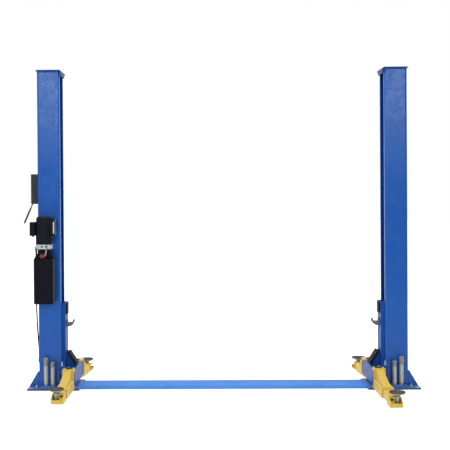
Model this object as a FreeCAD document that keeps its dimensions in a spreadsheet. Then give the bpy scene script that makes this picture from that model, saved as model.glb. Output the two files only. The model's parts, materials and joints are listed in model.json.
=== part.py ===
# Two post car lift with a floor cover between its posts, one power unit and four telescopic arms.
# Millimetres. The origin is at floor level, midway between the posts at mid-depth of their columns.
# X runs to the right seen from the front, Y to the back, Z up. The power unit hangs on the left post's front.
import FreeCAD, Part
import Sketcher
import math
import os

doc = FreeCAD.newDocument("two_post_lift")


# The driving sizes. Every other size and place below is worked out from these.
SIZES = {
    # posts
    "lift_height": 2824.0,          # floor to the top of the cap plates
    "outer_face": 1636.0,           # middle of the bay to a column's outer face
    "column_width": 200.0,          # outer face to inner face
    "column_depth": 260.0,
    "column_wall": 6.0,
    "column_lip": 35.0,             # the lips that turn in beside the slot
    "column_bend": 18.0,            # outside radius of the bent corners
    "base_thickness": 16.0,
    "base_heel": 171.0,             # column's inner face to the base plate's inner edge
    "base_toe": 91.0,               # column's outer face to the base plate's outer edge
    "base_depth": 480.0,
    "base_corner": 14.0,
    "anchor_radius": 10.0,
    "anchor_row_inset": 40.0,       # base plate's front and back edges to the rows of anchors
    "anchor_outer_inset": 82.0,     # base plate's outer edge to the outer anchors
    "anchor_inner_inset": 185.0,
    "anchor_side_inset": 32.0,
    "gusset_margin": 7.0,           # base plate's outer edge to a gusset's foot
    "gusset_height": 134.0,
    "gusset_plate": 8.0,
    "gusset_toe": 12.0,
    "cap_plate": 8.0,
    "cap_depth": 380.0,
    "cap_overhang": 12.0,
    "tie_height": 35.0,
    "cover_rise": 24.0,             # floor to the top of the floor cover
    "cover_depth": 360.0,
    "cover_ramp": 40.0,             # run of the sloping edges of the floor cover
    "cover_sheet": 4.0,
    "seat_gap": 0.3,                # how far a seated piece stands off its seat
    # lifting gear inside the columns
    "cylinder_axis": 90.0,          # column's outer face to the axis of its cylinder
    "cylinder_radius": 35.0,
    "cylinder_top": 1200.0,
    "gland_radius": 41.0,
    "gland_height": 36.0,
    "rod_radius": 20.0,
    "rod_reach": 44.0,              # rod showing above its gland when the lift is down
    "rod_fit": 0.08,
    "rod_in_barrel": 1100.0,
    "pitch_radius": 48.0,           # sheave axis to the middle of the chain
    "chain_thickness": 12.0,
    "chain_width": 24.0,
    "chain_end": 205.0,             # height of the chain's two ends with the lift down
    "yoke_plate": 10.0,
    "yoke_gap": 2.0,
    "axle_radius": 10.0,
    "ladder_width": 50.0,
    "ladder_plate": 8.0,
    "ladder_offset": 70.0,          # mid-depth to the middle of the lock ladder
    "ladder_foot": 240.0,
    "ladder_pitch": 100.0,
    "ladder_slot": 44.0,
    # carriages
    "carriage_height": 725.0,
    "carriage_bottom": 30.0,
    "carriage_plate": 8.0,
    "carriage_back": 20.0,          # column's outer face to the back edges of the carriage
    "carriage_front": 188.0,
    "carriage_depth": 232.0,
    "tongue_front": 234.0,
    "tongue_depth": 180.0,
    "block_height": 120.0,
    "block_wrap": 36.0,
    # arm carriers
    "carrier_front": 339.0,
    "carrier_bottom": 48.0,
    "carrier_top": 182.0,
    "carrier_plate": 12.0,
    "carrier_end": 46.0,            # arm pin to the end of the carrier beyond it
    "arch_rise": 16.0,              # how far the inner plate rises between the arms
    "arch_run": 40.0,
    "pin_offset": 250.0,            # mid-depth to the arm pins
    "pin_radius": 19.0,
    "pin_head_radius": 30.0,
    "pin_head": 9.0,
    "pin_fit": 0.08,
    "boss_radius": 44.0,
    "lock_offset": 18.0,            # carrier's outer plate to the axis of an arm lock
    "lock_inset": 50.0,             # arm pin's line to the arm lock, towards the column
    "ear_half": 16.0,
    "ear_low": 140.0,
    "ear_high": 176.0,
    "lock_pin_radius": 7.0,
    "lock_collar_radius": 12.0,
    "lock_collar_height": 14.0,
    "lock_lift": 6.0,               # how far a lock stands above its gear with the lift down
    "lock_block": 14.0,
    "knob_radius": 11.0,
    "knob_height": 34.0,
    # arms
    "arm_width": 104.0,
    "arm_bottom": 30.0,
    "arm_plate": 8.0,
    "fork_plate": 14.0,
    "fork_gap": 0.5,
    "swing_gap": 6.0,               # air between a swinging piece and its neighbours
    "arm_root": 76.0,               # arm pin to the start of the arm's box
    "root_plate": 14.0,
    "wedge_width": 62.0,            # the tapered stiffener on top of the arm's box
    "gear_root": 54.0,
    "gear_tip": 62.0,
    "tube_width": 84.0,
    "tube_height": 60.0,
    "tube_wall": 6.0,
    "tube_fit": 0.5,
    "front_mouth": 500.0,           # arm pin to the open end of a front arm
    "rear_mouth": 318.0,
    "front_drawn": 590.0,           # arm pin to the pad with the arm pushed in
    "rear_drawn": 405.0,
    "tube_tail": 84.0,              # arm pin to the tube's inner end with the arm pushed in
    "tip_width": 104.0,
    "tip_back": 64.0,               # pad's axis to the back of the tip
    "tip_ahead": 80.0,
    "tip_lip": 32.0,
    "tip_plate": 10.0,
    "tip_ledge": 72.0,              # height of the step beside a front pad's post
    "deck_ahead": 12.0,             # pad's axis to the front edge of the tip's deck
    "pin_hole_radius": 9.0,
    "pad_shift": 20.0,              # how far outward of its arm's middle a front pad stands
    # pads
    "pad_radius": 65.0,
    "pad_top": 147.0,
    "dish_radius": 59.0,
    "dish_height": 18.0,
    "spigot_radius": 38.0,
    "spigot_height": 5.0,
    "rubber_height": 15.0,
    "post_radius": 25.0,
    "post_fit": 0.1,
    # where each arm is left: swing in degrees, inwards from straight ahead, and reach of its pad
    "left_front_swing": -0.4,
    "left_front_reach": 644.2,
    "left_rear_swing": 6.4,
    "left_rear_reach": 418.0,
    "right_front_swing": 0.32,
    "right_front_reach": 818.9,
    "right_rear_swing": 4.0,
    "right_rear_reach": 450.2,
    # rubber guards and hooks on the carriages
    "guard_thickness": 20.0,
    "guard_depth": 150.0,
    "guard_bottom": 200.0,
    "guard_top": 314.0,
    "guard_lean": 72.0,
    "rib_offset": 44.0,             # mid-depth to the ribs behind the sloped guard
    "bumper_thickness": 11.0,
    "bumper_low": 651.0,
    "bumper_high": 752.0,
    "bumper_depth": 120.0,
    "hook_low": 538.0,
    "hook_floor": 576.0,
    "hook_high": 600.0,
    "hook_reach": 70.0,
    "hook_plate": 11.0,
    "hook_depth": 60.0,
    # adapter rack
    "rack_inner": 1475.0,
    "rack_outer": 1599.0,
    "rack_front": 236.0,            # mid-depth to the rack's front
    "rack_height": 28.0,
    "rack_sheet": 5.0,
    "adapter_line": 190.0,
    "tall_adapter": 1563.0,
    "short_adapter": 1503.5,
    "adapter_radius": 19.0,
    "adapter_dish": 13.0,
    "tall_top": 283.0,
    "short_top": 245.0,
    "tall_collar": 70.0,
    "short_collar": 46.0,
    "collar_radius": 21.0,
    # power unit
    "unit_axis": 1562.0,            # middle of the bay to the motor's axis
    "unit_line": 238.0,             # mid-depth to the motor's axis
    "bracket_plate": 12.0,
    "bracket_width": 104.0,
    "bracket_low": 1180.0,
    "bracket_high": 1400.0,
    "motor_radius": 75.0,
    "motor_low": 1288.0,
    "motor_high": 1534.0,
    "motor_cap": 44.0,
    "motor_step": 7.0,
    "block_low": 1249.0,
    "block_left": 1624.0,
    "block_right": 1494.0,
    "block_front": 312.0,
    "tank_left": 1647.0,
    "tank_right": 1476.0,
    "tank_front": 322.0,
    "tank_back": 162.0,
    "tank_low": 768.0,
    "tank_high": 1205.0,
    "tank_shoulder": 40.0,
    "tank_edge": 20.0,
    "neck_width": 112.0,
    "neck_front": 258.0,
    "filler_x": 1571.0,
    "filler_y": 294.0,
    "filler_radius": 23.0,
    "filler_height": 35.0,
    "shelf_z": 1162.0,              # height of the tank's front shelf
    "shelf_y": 262.0,
    "filler_boss": 10.0,
    "capacitor_reach": 99.0,        # motor's axis to the capacitor cover's outer face
    "capacitor_low": 1358.0,
    "capacitor_high": 1516.0,
    "capacitor_depth": 92.0,
    "block_pocket": 12.0,
    "switch_width": 48.0,
    "switch_low": 1364.0,
    "switch_high": 1484.0,
    "switch_depth": 84.0,
    "valve_x": 1531.0,
    "valve_z": 1272.0,
    "valve_radius": 12.0,
    "valve_reach": 16.0,
    "lever_length": 81.0,
    "lever_width": 12.0,
    "lever_plate": 5.0,
    "lever_tail": 19.0,             # valve's axis to the lever's upper end
    "lever_bend": 32.0,             # valve's axis down to where the lever bends
    "lever_set": 10.0,
    # lock release
    "lock_width": 62.0,
    "lock_low": 1642.0,
    "lock_high": 1907.0,
    "lock_front": 105.0,
    "lock_rear": 15.0,
    "lock_sheet": 3.0,
    "lock_pivot_x": 1686.0,
    "lock_pivot_z": 1656.0,
    "pivot_radius": 4.0,
    "eye_radius": 10.0,
    "eye_width": 14.0,
    "handle_radius": 5.0,
    "handle_length": 206.0,
    "handle_lean": 23.5,
    "grip_radius": 8.0,
    "grip_length": 90.0,
    # hydraulic hose
    "hose_radius": 6.5,
    "fitting_radius": 9.5,
}

sheet = doc.addObject("Spreadsheet::Sheet", "Sizes")
for row, (alias, number) in enumerate(SIZES.items(), start=1):
    sheet.set(f"A{row}", alias)
    sheet.set(f"B{row}", str(number))
    sheet.setAlias(f"B{row}", alias)
doc.recompute()


class Size:
    """A size: its value now, and the formula over the sheet that gives it."""

    def __init__(self, value, formula):
        self.value = value
        self.formula = formula

    def __add__(self, other):
        return joined(self, "+", other, lambda a, b: a + b)

    def __sub__(self, other):
        return joined(self, "-", other, lambda a, b: a - b)

    def __mul__(self, other):
        return joined(self, "*", other, lambda a, b: a * b)

    def __truediv__(self, other):
        return joined(self, "/", other, lambda a, b: a / b)

    def __rsub__(self, other):
        return as_size(other) - self

    def __neg__(self):
        return self * -1

    __radd__ = __add__
    __rmul__ = __mul__


def as_size(number):
    """A plain number as a Size, so that both can stand in one formula."""
    return number if isinstance(number, Size) else Size(float(number), f"({float(number)})")


def joined(first, sign, second, work):
    """The Size that an operation on two sizes gives."""
    first, second = as_size(first), as_size(second)
    return Size(work(first.value, second.value), f"({first.formula} {sign} {second.formula})")


class Sheet:
    """The sheet's sizes by name: at.column_width is the cell column_width."""

    def __getattr__(self, alias):
        return Size(float(sheet.get(alias)), f"Sizes.{alias}")

    def named(self, alias):
        return getattr(self, alias)


at = Sheet()
pieces = []


# Helpers: each makes one document object whose sizes follow the sheet.

def bind(thing, path, size):
    """Set a property from a size now, and keep it tied to the sheet."""
    thing.setExpression(path, as_size(size).formula)


def place(thing, x=0.0, y=0.0, z=0.0):
    """Stand an object at a point given by sizes."""
    for letter, size in (("x", x), ("y", y), ("z", z)):
        bind(thing, f"Placement.Base.{letter}", size)
    return thing


def turn(thing, axis, angle):
    """Turn an object about an axis through its own origin, in degrees."""
    thing.Placement.Rotation = FreeCAD.Rotation(FreeCAD.Vector(*axis), as_size(angle).value)
    bind(thing, "Placement.Rotation.Angle", angle)
    return thing


def node(thing, label):
    """Name a finished piece, and keep it for the files."""
    thing.Label = label
    pieces.append(thing)
    return thing


def block(xs, ys, zs):
    """A plate or block between two values along each axis."""
    thing = doc.addObject("Part::Box", "Block")
    for path, (low, high) in (("Length", xs), ("Width", ys), ("Height", zs)):
        bind(thing, path, as_size(high) - as_size(low))
    return place(thing, xs[0], ys[0], zs[0])


def rod(radius, length, x, y, z, axis="z"):
    """A cylinder that starts at a point and runs along an axis: x, -x, y, -y or z."""
    thing = doc.addObject("Part::Cylinder", "Rod")
    bind(thing, "Radius", radius)
    bind(thing, "Height", length)
    turned = {"z": ((0, 0, 1), 0), "x": ((0, 1, 0), 90), "-x": ((0, 1, 0), -90),
              "y": ((1, 0, 0), -90), "-y": ((1, 0, 0), 90)}[axis]
    thing.Placement.Rotation = FreeCAD.Rotation(FreeCAD.Vector(*turned[0]), turned[1])
    return place(thing, x, y, z)


def fuse(*things):
    """One solid from touching or overlapping ones."""
    thing = doc.addObject("Part::MultiFuse", "Fused")
    thing.Shapes = list(things)
    thing.Refine = True
    return thing


def cut(base, *tools):
    """A solid less one or more others."""
    thing = doc.addObject("Part::Cut", "Cut")
    thing.Base = base
    thing.Tool = tools[0] if len(tools) == 1 else fuse(*tools)
    thing.Refine = True
    return thing


def together(*things):
    """Separate solids that share one file."""
    thing = doc.addObject("Part::Compound", "Set")
    thing.Links = list(things)
    return thing


def turned_shape(profile):
    """A solid of revolution about Z from (radius, height) points."""
    body = doc.addObject("PartDesign::Body", "Turned")
    sketch = sketch_on(body, "XZ_Plane")
    outline(sketch, profile)
    spin = body.newObject("PartDesign::Revolution", "Spin")
    spin.Profile = sketch
    spin.ReferenceAxis = (sketch, ["V_Axis"])
    spin.Angle = 360.0
    return body


def sketch_on(body, role):
    """An empty sketch on one of a body's own planes."""
    sketch = body.newObject("Sketcher::SketchObject", "Outline")
    plane = [feature for feature in body.Origin.OriginFeatures if feature.Role == role][0]
    sketch.AttachmentSupport = [(plane, "")]
    sketch.MapMode = "FlatFace"
    return sketch


def tie_point(sketch, edge, end, x, y):
    """Hold a sketch point at a place that follows the sheet."""
    for kind, size in (("DistanceX", x), ("DistanceY", y)):
        size = as_size(size)
        number = sketch.addConstraint(Sketcher.Constraint(kind, -1, 1, edge, end, size.value))
        sketch.setExpression(f"Constraints[{number}]", size.formula)


def outline(sketch, points):
    """A closed outline of straight edges, each corner held by the sheet."""
    spots = [FreeCAD.Vector(as_size(x).value, as_size(y).value, 0) for x, y in points]
    first = sketch.GeometryCount
    count = len(points)
    for start in range(count):
        sketch.addGeometry(Part.LineSegment(spots[start], spots[(start + 1) % count]), False)
    for start, (x, y) in enumerate(points):
        last = first + (start - 1) % count
        sketch.addConstraint(Sketcher.Constraint("Coincident", last, 2, first + start, 1))
        tie_point(sketch, first + start, 1, x, y)


def round_hole(sketch, x, y, radius):
    """A circle in a sketch, its middle and radius held by the sheet."""
    spot = FreeCAD.Vector(as_size(x).value, as_size(y).value, 0)
    circle = Part.Circle(spot, FreeCAD.Vector(0, 0, 1), as_size(radius).value)
    number = sketch.addGeometry(circle, False)
    tie_point(sketch, number, 3, x, y)
    held = sketch.addConstraint(Sketcher.Constraint("Radius", number, as_size(radius).value))
    sketch.setExpression(f"Constraints[{held}]", as_size(radius).formula)


def prism(role, points, length, both_ways=False, holes=(), rounds=()):
    """A padded outline: points in the plane, round holes, and more outlines as windows."""
    body = doc.addObject("PartDesign::Body", "Prism")
    sketch = sketch_on(body, role)
    outline(sketch, points)
    for window in holes:
        outline(sketch, window)
    for x, y, radius in rounds:
        round_hole(sketch, x, y, radius)
    pad = body.newObject("PartDesign::Pad", "Length")
    pad.Profile = sketch
    if both_ways:
        pad.SideType = "Symmetric"
    bind(pad, "Length", length)
    return body


def soften(body, radius, wanted):
    """Round the edges of a body's last feature whose middle and direction pass a test."""
    doc.recompute()
    base = body.Tip
    names = []
    for number, edge in enumerate(base.Shape.Edges, start=1):
        middle = edge.CenterOfMass
        run = edge.Vertexes[-1].Point - edge.Vertexes[0].Point
        if run.Length > 1e-6 and wanted(middle, run.normalize()):
            names.append(f"Edge{number}")
    fillet = body.newObject("PartDesign::Fillet", "Rounded")
    fillet.Base = (base, names)
    bind(fillet, "Radius", radius)
    body.Tip = fillet
    return body


def out(side, near, far):
    """Two distances from the middle of the bay as a low and a high X on one side of it."""
    return (near, far) if side > 0 else (-far, -near)


def upright(run):
    """Whether a direction is vertical."""
    return abs(run.z) > 0.99


# Values that several pieces share.
half_depth = at.column_depth / 2
inner_face = at.outer_face - at.column_width
base_inner = inner_face - at.base_heel
base_outer = at.outer_face + at.base_toe
column_height = at.lift_height - at.cap_plate - at.base_thickness
cylinder_x = at.outer_face - at.cylinder_axis
sheave_z = at.cylinder_top + at.gland_height + at.rod_reach + at.pitch_radius + at.chain_thickness
carrier_inner = at.outer_face - at.carrier_front
carrier_outer = at.outer_face - at.tongue_front
pin_x = (carrier_inner + carrier_outer) / 2
lock_x = carrier_outer + at.lock_offset
lock_y = at.pin_offset - at.lock_inset
fork_top = at.carrier_top + at.fork_gap
fork_bottom = at.carrier_bottom - at.fork_gap
arm_top = fork_top + at.fork_plate
tube_low = at.arm_bottom + at.arm_plate + at.tube_fit
tube_high = tube_low + at.tube_height
mouth_top = tube_high + at.tube_fit + at.arm_plate


def column(side):
    """A C-shaped column of bent plate, open towards the bay."""
    outer = side * at.outer_face
    wall = side * (at.outer_face - at.column_wall)
    lip_back = side * (inner_face + at.column_wall)
    face = side * inner_face
    slot = half_depth - at.column_lip
    within = half_depth - at.column_wall
    half = [(outer, half_depth), (face, half_depth), (face, slot), (lip_back, slot), (lip_back, within),
            (wall, within)]
    points = half + [(x, -y) for x, y in reversed(half)]
    body = prism("XY_Plane", points, column_height)
    place(body, 0, 0, at.base_thickness)
    edge_y = half_depth.value
    return soften(body, at.column_bend, lambda middle, run: upright(run) and abs(abs(middle.y) - edge_y) < 0.01)


def base_plate(side):
    """The plate under a column, with its anchor holes."""
    half = at.base_depth / 2
    near, far = side * base_inner, side * base_outer
    row = half - at.anchor_row_inset
    anchors = [(side * (base_outer - at.anchor_side_inset), 0.0, at.anchor_radius)]
    for x in (base_outer - at.anchor_outer_inset, base_inner + at.anchor_inner_inset):
        anchors += [(side * x, y, at.anchor_radius) for y in (row, -row)]
    body = prism("XY_Plane", [(near, -half), (far, -half), (far, half), (near, half)], at.base_thickness,
                 rounds=anchors)
    reach = half.value
    return soften(body, at.base_corner, lambda middle, run: upright(run) and abs(abs(middle.y) - reach) < 0.01)


def gusset(side, front):
    """A triangular plate between a column's outer face and its base plate."""
    foot = at.base_toe - at.gusset_margin
    points = [(0, 0), (side * foot, 0), (side * foot, at.gusset_toe),
              (side * at.gusset_toe, at.gusset_height), (0, at.gusset_height)]
    body = prism("XZ_Plane", points, at.gusset_plate, both_ways=True)
    middle = half_depth - at.column_bend - at.gusset_plate / 2
    return place(body, side * at.outer_face, -middle if front else middle, at.base_thickness)


def top_cap(side):
    """The cap plate, with the tie that closes the slot under it."""
    half = at.cap_depth / 2
    top = at.lift_height - at.cap_plate
    inner = inner_face - at.cap_overhang
    plate = block(out(side, inner, at.outer_face), (-half, half), (top, at.lift_height))
    tie = block(out(side, inner, inner_face), (-half_depth, half_depth), (top - at.tie_height, top))
    return fuse(plate, tie)


def floor_cover():
    """The low folded cover between the base plates, open below."""
    half = at.cover_depth / 2
    flat = half - at.cover_ramp
    rise = at.cover_rise
    skin = at.cover_sheet
    right = [(flat, rise), (half, skin), (half, 0), (half - at.cover_ramp / 5, 0), (flat, rise - skin)]
    points = right + [(-y, z) for y, z in reversed(right)]
    end = base_inner - at.seat_gap
    return place(prism("YZ_Plane", points, 2 * end), -end, 0, 0)


def adapter_rack(side):
    """The open tray in front of a column that the height adapters stand in."""
    low, high = at.base_thickness, at.base_thickness + at.rack_height
    back = -(half_depth + at.seat_gap)
    tray = block(out(side, at.rack_inner, at.rack_outer), (-at.rack_front, back), (low, high))
    inside = block(out(side, at.rack_inner + at.rack_sheet, at.rack_outer - at.rack_sheet),
                   (-(at.rack_front - at.rack_sheet), back - at.rack_sheet), (low + at.rack_sheet, high + 1))
    return cut(tray, inside)


def adapter(side, x, top, collar_height):
    """A height adapter: a stem with a wider collar that is dished at its top."""
    foot = at.base_thickness + at.rack_sheet + at.seat_gap
    stem, collar, dish = at.adapter_radius, at.collar_radius, at.adapter_dish
    neck = top - collar_height
    profile = [(0, foot), (stem, foot), (stem, neck), (collar, neck + 3), (collar, top), (dish, top), (0, top - 4)]
    return place(turned_shape(profile), side * x, -at.adapter_line, 0)


def cylinder(side):
    """A cylinder's barrel, standing on its base plate, with the gland that its rod comes out of."""
    foot = at.base_thickness + at.seat_gap
    bore = at.rod_radius + at.rod_fit
    barrel, gland = at.cylinder_radius, at.gland_radius
    top = at.cylinder_top + at.gland_height
    sump = at.cylinder_top - at.rod_in_barrel
    profile = [(0, foot), (barrel, foot), (barrel, at.cylinder_top), (gland, at.cylinder_top),
               (gland, top - 6), (gland - 6, top), (bore, top), (bore, sump), (0, sump)]
    return place(turned_shape(profile), side * cylinder_x, 0, 0)


def cylinder_rod(side):
    """The polished rod with the fork that carries the chain sheave."""
    foot = at.cylinder_top - at.rod_in_barrel + 40
    neck = at.cylinder_top + at.gland_height + at.rod_reach
    shaft = rod(at.rod_radius, neck - foot, side * cylinder_x, 0, foot)
    half = at.chain_width / 2 + at.yoke_gap
    wide = at.rod_radius + 4
    crown = block((side * cylinder_x - wide, side * cylinder_x + wide), (-(half + at.yoke_plate),
                  half + at.yoke_plate), (neck - 8, neck + 2))
    cheeks = [block((side * cylinder_x - wide, side * cylinder_x + wide), (low, low + at.yoke_plate),
                    (neck - 8, sheave_z + wide)) for low in (half, -(half + at.yoke_plate))]
    axle = rod(at.axle_radius, at.chain_width + 2 * (at.yoke_gap + at.yoke_plate) + 8, side * cylinder_x,
               -(half + at.yoke_plate + 4), sheave_z, "y")
    return fuse(shaft, crown, *cheeks, axle)


def sheave(side):
    """The chain sheave, with a rim each side of the chain."""
    seat = at.pitch_radius - at.chain_thickness / 2 - at.seat_gap
    bore = at.axle_radius + at.rod_fit
    half_wide = at.chain_width / 2 + at.yoke_gap - 0.5
    profile = [(bore, -half_wide), (seat, -half_wide), (seat, half_wide), (bore, half_wide)]
    return place(turn(turned_shape(profile), (1, 0, 0), 90), side * cylinder_x, 0, sheave_z)


def lift_chain(side):
    """The chain as one band: up from its anchor, over the sheave and down to the carriage."""
    inner = at.pitch_radius - at.chain_thickness / 2
    outer = at.pitch_radius + at.chain_thickness / 2
    half = at.chain_width / 2
    x = side * cylinder_x
    ring = cut(rod(outer, at.chain_width, x, -half, sheave_z, "y"),
               rod(inner, at.chain_width + 2, x, -(half + 1), sheave_z, "y"))
    lower = block((x - outer - 1, x + outer + 1), (-half - 1, half + 1), (sheave_z - outer - 1, sheave_z))
    bend = cut(ring, lower)
    runs = [block((x + low, x + low + at.chain_thickness), (-half, half), (at.chain_end, sheave_z))
            for low in (inner, -outer)]
    return fuse(bend, *runs)


def lock_ladder(side):
    """The slotted bar inside a column that the safety lock catches in."""
    low = at.ladder_offset - at.ladder_width / 2
    back = at.outer_face - at.column_wall
    bar = block(out(side, back - at.ladder_plate, back), (low, low + at.ladder_width),
                (at.base_thickness, at.lift_height - at.cap_plate - 120))
    slots = []
    for step in range(int((at.lift_height.value - 500) / at.ladder_pitch.value)):
        foot = at.ladder_foot + at.ladder_pitch * step
        slots.append(block(out(side, back - at.ladder_plate - 1, back + 1), (low + 10, low + 40),
                           (foot, foot + at.ladder_slot)))
    return cut(bar, *slots)


def carriage(side):
    """A carriage: a channel round the cylinder, a tongue through the slot, and the arm carrier."""
    plate = at.carriage_plate
    half, tongue = at.carriage_depth / 2, at.tongue_depth / 2
    back, front, nose = [side * (at.outer_face - inset) for inset in
                         (at.carriage_back, at.carriage_front, at.tongue_front)]
    web = side * (at.outer_face - at.carriage_front + plate)
    ahead = side * (at.outer_face - at.tongue_front + plate)
    upper = [(back, half), (front, half), (front, tongue), (nose, tongue)]
    inside = [(back, half - plate), (web, half - plate)]
    points = upper + [(x, -y) for x, y in reversed(upper)]
    points += [(x, -y) for x, y in inside] + list(reversed(inside))
    hollow = [(front, tongue - plate), (ahead, tongue - plate), (ahead, plate - tongue), (front, plate - tongue)]
    shell = place(prism("XY_Plane", points, at.carriage_height, holes=[hollow]), 0, 0, at.carriage_bottom)
    low, high, end = at.carrier_bottom, at.carrier_top, at.pin_offset + at.carrier_end
    flank = at.pin_offset - at.arm_width / 2 - at.swing_gap
    right = [(end, low), (end, high), (flank, high), (flank - at.arch_run, high + at.arch_rise)]
    arch = right + [(-y, z) for y, z in reversed(right)]
    face = prism("YZ_Plane", arch, at.carrier_plate)
    place(face, side * (carrier_inner + at.carrier_plate / 2) - at.carrier_plate / 2, 0, 0)
    back_plate = block(out(side, carrier_outer - at.carrier_plate, carrier_outer), (-end, end), (low, high))
    bosses = [rod(at.boss_radius, high - low, side * pin_x, y, low) for y in (at.pin_offset, -at.pin_offset)]
    shelf_end = at.pin_offset - at.boss_radius / 2
    shelves = [block(out(side, carrier_inner, carrier_outer), (-shelf_end, shelf_end), (z, z + plate))
               for z in (low, high - plate)]
    seat = side * at.seat_gap
    rib = [(side * carrier_outer, high - plate), (guard_foot(side) + seat, high - plate),
           (guard_foot(side) + seat, at.guard_bottom), (guard_head(side) + seat, at.guard_top),
           (side * carrier_outer, at.guard_top)]
    ribs = [place(prism("XZ_Plane", rib, plate, both_ways=True), 0, y, 0) for y in (-at.rib_offset, at.rib_offset)]
    ears, bores = [], []
    for end_y in (1, -1):
        y = end_y * lock_y
        ears.append(block(out(side, carrier_outer - plate, lock_x + at.ear_half), (y - at.ear_half, y + at.ear_half),
                          (at.ear_low, at.ear_high)))
        bores.append(rod(at.lock_pin_radius + at.seat_gap, at.ear_high - at.ear_low + 2, side * lock_x, y,
                         at.ear_low - 1))
        bores.append(rod(at.pin_radius + at.pin_fit, high - low + 2, side * pin_x, end_y * at.pin_offset, low - 1))
    return cut(fuse(shell, face, back_plate, *bosses, *shelves, *ribs, *ears), *bores)


def guard_head(side):
    """Where the sloped guard's back meets the carriage, at its top."""
    return side * (carrier_outer - at.carriage_plate)


def guard_foot(side):
    """Where the back of the sloped guard ends, at its foot."""
    return guard_head(side) - side * at.guard_lean


def slide_blocks(side):
    """The wear blocks at the four corners of a carriage, at its top and bottom."""
    gap = at.seat_gap
    half = at.carriage_depth / 2
    wall = half_depth - at.column_wall - gap
    web = at.outer_face - at.column_wall - gap
    back = at.outer_face - at.carriage_back
    front = at.outer_face - at.carriage_front
    lip = inner_face + at.column_wall + gap
    blocks = []
    for foot in (at.carriage_bottom + 5, at.carriage_bottom + at.carriage_height - at.block_height - 5):
        heights = (foot, foot + at.block_height)
        for turn_y in (1, -1):
            for outer, corner, inner in ((web, back, back - at.block_wrap), (lip, front, front + at.block_wrap)):
                points = [(outer, wall), (inner, wall), (inner, half), (corner, half), (corner, half - 20),
                          (outer, half - 20)]
                shape = prism("XY_Plane", [(side * x, turn_y * y) for x, y in points], at.block_height)
                blocks.append(place(shape, 0, 0, foot))
    return together(*blocks)


def door_guards(side):
    """The rubber on a carriage: a bumper near its top and the sloped guard above the arms."""
    nose = carrier_outer
    half = at.bumper_depth / 2
    bumper = block(out(side, nose - at.bumper_thickness, nose - at.seat_gap), (-half, half),
                   (at.bumper_low, at.bumper_high))
    top_x, foot_x = guard_head(side), guard_foot(side)
    skin = side * at.guard_thickness
    points = [(foot_x, at.guard_bottom), (top_x, at.guard_top), (top_x - skin, at.guard_top + 6),
              (foot_x - skin, at.guard_bottom + 6)]
    slope = place(prism("XZ_Plane", points, at.guard_depth, both_ways=True), 0, 0, 0)
    return together(bumper, slope)


def hanger_hook(side):
    """The cast hook on the inner face of a carriage, a shallow cup with a turned up lip."""
    nose = carrier_outer - at.seat_gap
    wall, reach, floor = at.hook_plate, at.hook_reach, at.hook_floor
    low, high = at.hook_low, at.hook_high
    points = [(0, low), (-reach / 2, low + 2), (16 - reach, low + 14), (-reach, high - 22), (-reach, high),
              (wall - reach, high), (wall + 3 - reach, floor + 8), (wall + 12 - reach, floor), (-wall, floor),
              (-wall, high), (0, high)]
    shape = prism("XZ_Plane", [(side * x, z) for x, z in points], at.hook_depth, both_ways=True)
    return place(shape, side * nose, 0, 0)


def arm_pins(side):
    """The pins that the arms swing on."""
    pins = []
    head_seat = arm_top + at.fork_gap
    foot = at.arm_bottom + 2
    for y in (at.pin_offset, -at.pin_offset):
        r, h = at.pin_radius, at.pin_head_radius
        profile = [(0, foot), (r - 2, foot), (r, foot + 2), (r, head_seat), (h, head_seat),
                   (h, head_seat + at.pin_head - 2), (h - 2, head_seat + at.pin_head), (0, head_seat + at.pin_head)]
        pins.append(place(turned_shape(profile), side * pin_x, y, 0))
    return together(*pins)


def arm_frame(thing, side, end, name):
    """Stand a piece that is drawn along +Y from its pin on that pin, at its arm's swing."""
    swing = at.named(f"{name}_swing")
    turn(thing, (0, 0, 1), (side * swing) if end > 0 else (180 - side * swing))
    return place(thing, side * pin_x, end * at.pin_offset, 0)


def gear_segment(outward):
    """The toothed edge of an arm's hub, outward round its back, that its lock catches in."""
    first, pitch, teeth = 112.0, 8.0, 14
    points = []
    for tooth in range(teeth):
        for step, radius in ((0.0, at.gear_root), (0.2, at.gear_tip), (0.5, at.gear_tip), (0.7, at.gear_root)):
            angle = math.radians(first + pitch * (tooth + step))
            points.append((outward * radius * math.sin(angle), radius * math.cos(angle)))
    for step in range(7):
        angle = math.radians(first + pitch * teeth * (1 - step / 6))
        points.append((outward * at.gear_root * 0.8 * math.sin(angle), at.gear_root * 0.8 * math.cos(angle)))
    return place(prism("XY_Plane", points, at.fork_plate), 0, 0, fork_top)


def arm(side, end, name, mouth):
    """An arm: a fork round the carrier's boss, a box that its tube slides in, and a stiffener on top."""
    half = at.arm_width / 2
    plate = at.arm_plate
    root = at.arm_root
    low = at.arm_bottom
    box = cut(block((-half, half), (root, mouth), (low, mouth_top)),
              block((-(at.tube_width / 2 + at.tube_fit), at.tube_width / 2 + at.tube_fit), (root - 1, mouth + 1),
                    (low + plate, mouth_top - plate)))
    slope = [(root, mouth_top - 1), (mouth - 40, mouth_top - 1), (mouth - 40, mouth_top + 3), (root + 10, arm_top),
             (root, arm_top)]
    stiffener = prism("YZ_Plane", slope, at.wedge_width, both_ways=True)
    root_plate = block((-half, half), (root, root + at.root_plate), (mouth_top - 1, arm_top))
    heel = block((-half, half), (root, root + at.root_plate), (fork_bottom - at.fork_plate, low + plate))
    forks = []
    for foot in (fork_top, fork_bottom - at.fork_plate):
        forks.append(block((-half, half), (0, root + 4), (foot, foot + at.fork_plate)))
        forks.append(rod(half, at.fork_plate, 0, 0, foot))
    bore = rod(at.pin_radius + at.pin_fit, arm_top, 0, 0, 0)
    shape = cut(fuse(box, stiffener, root_plate, *forks, gear_segment(side * end)), bore)
    return arm_frame(shape, side, end, name)


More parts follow.
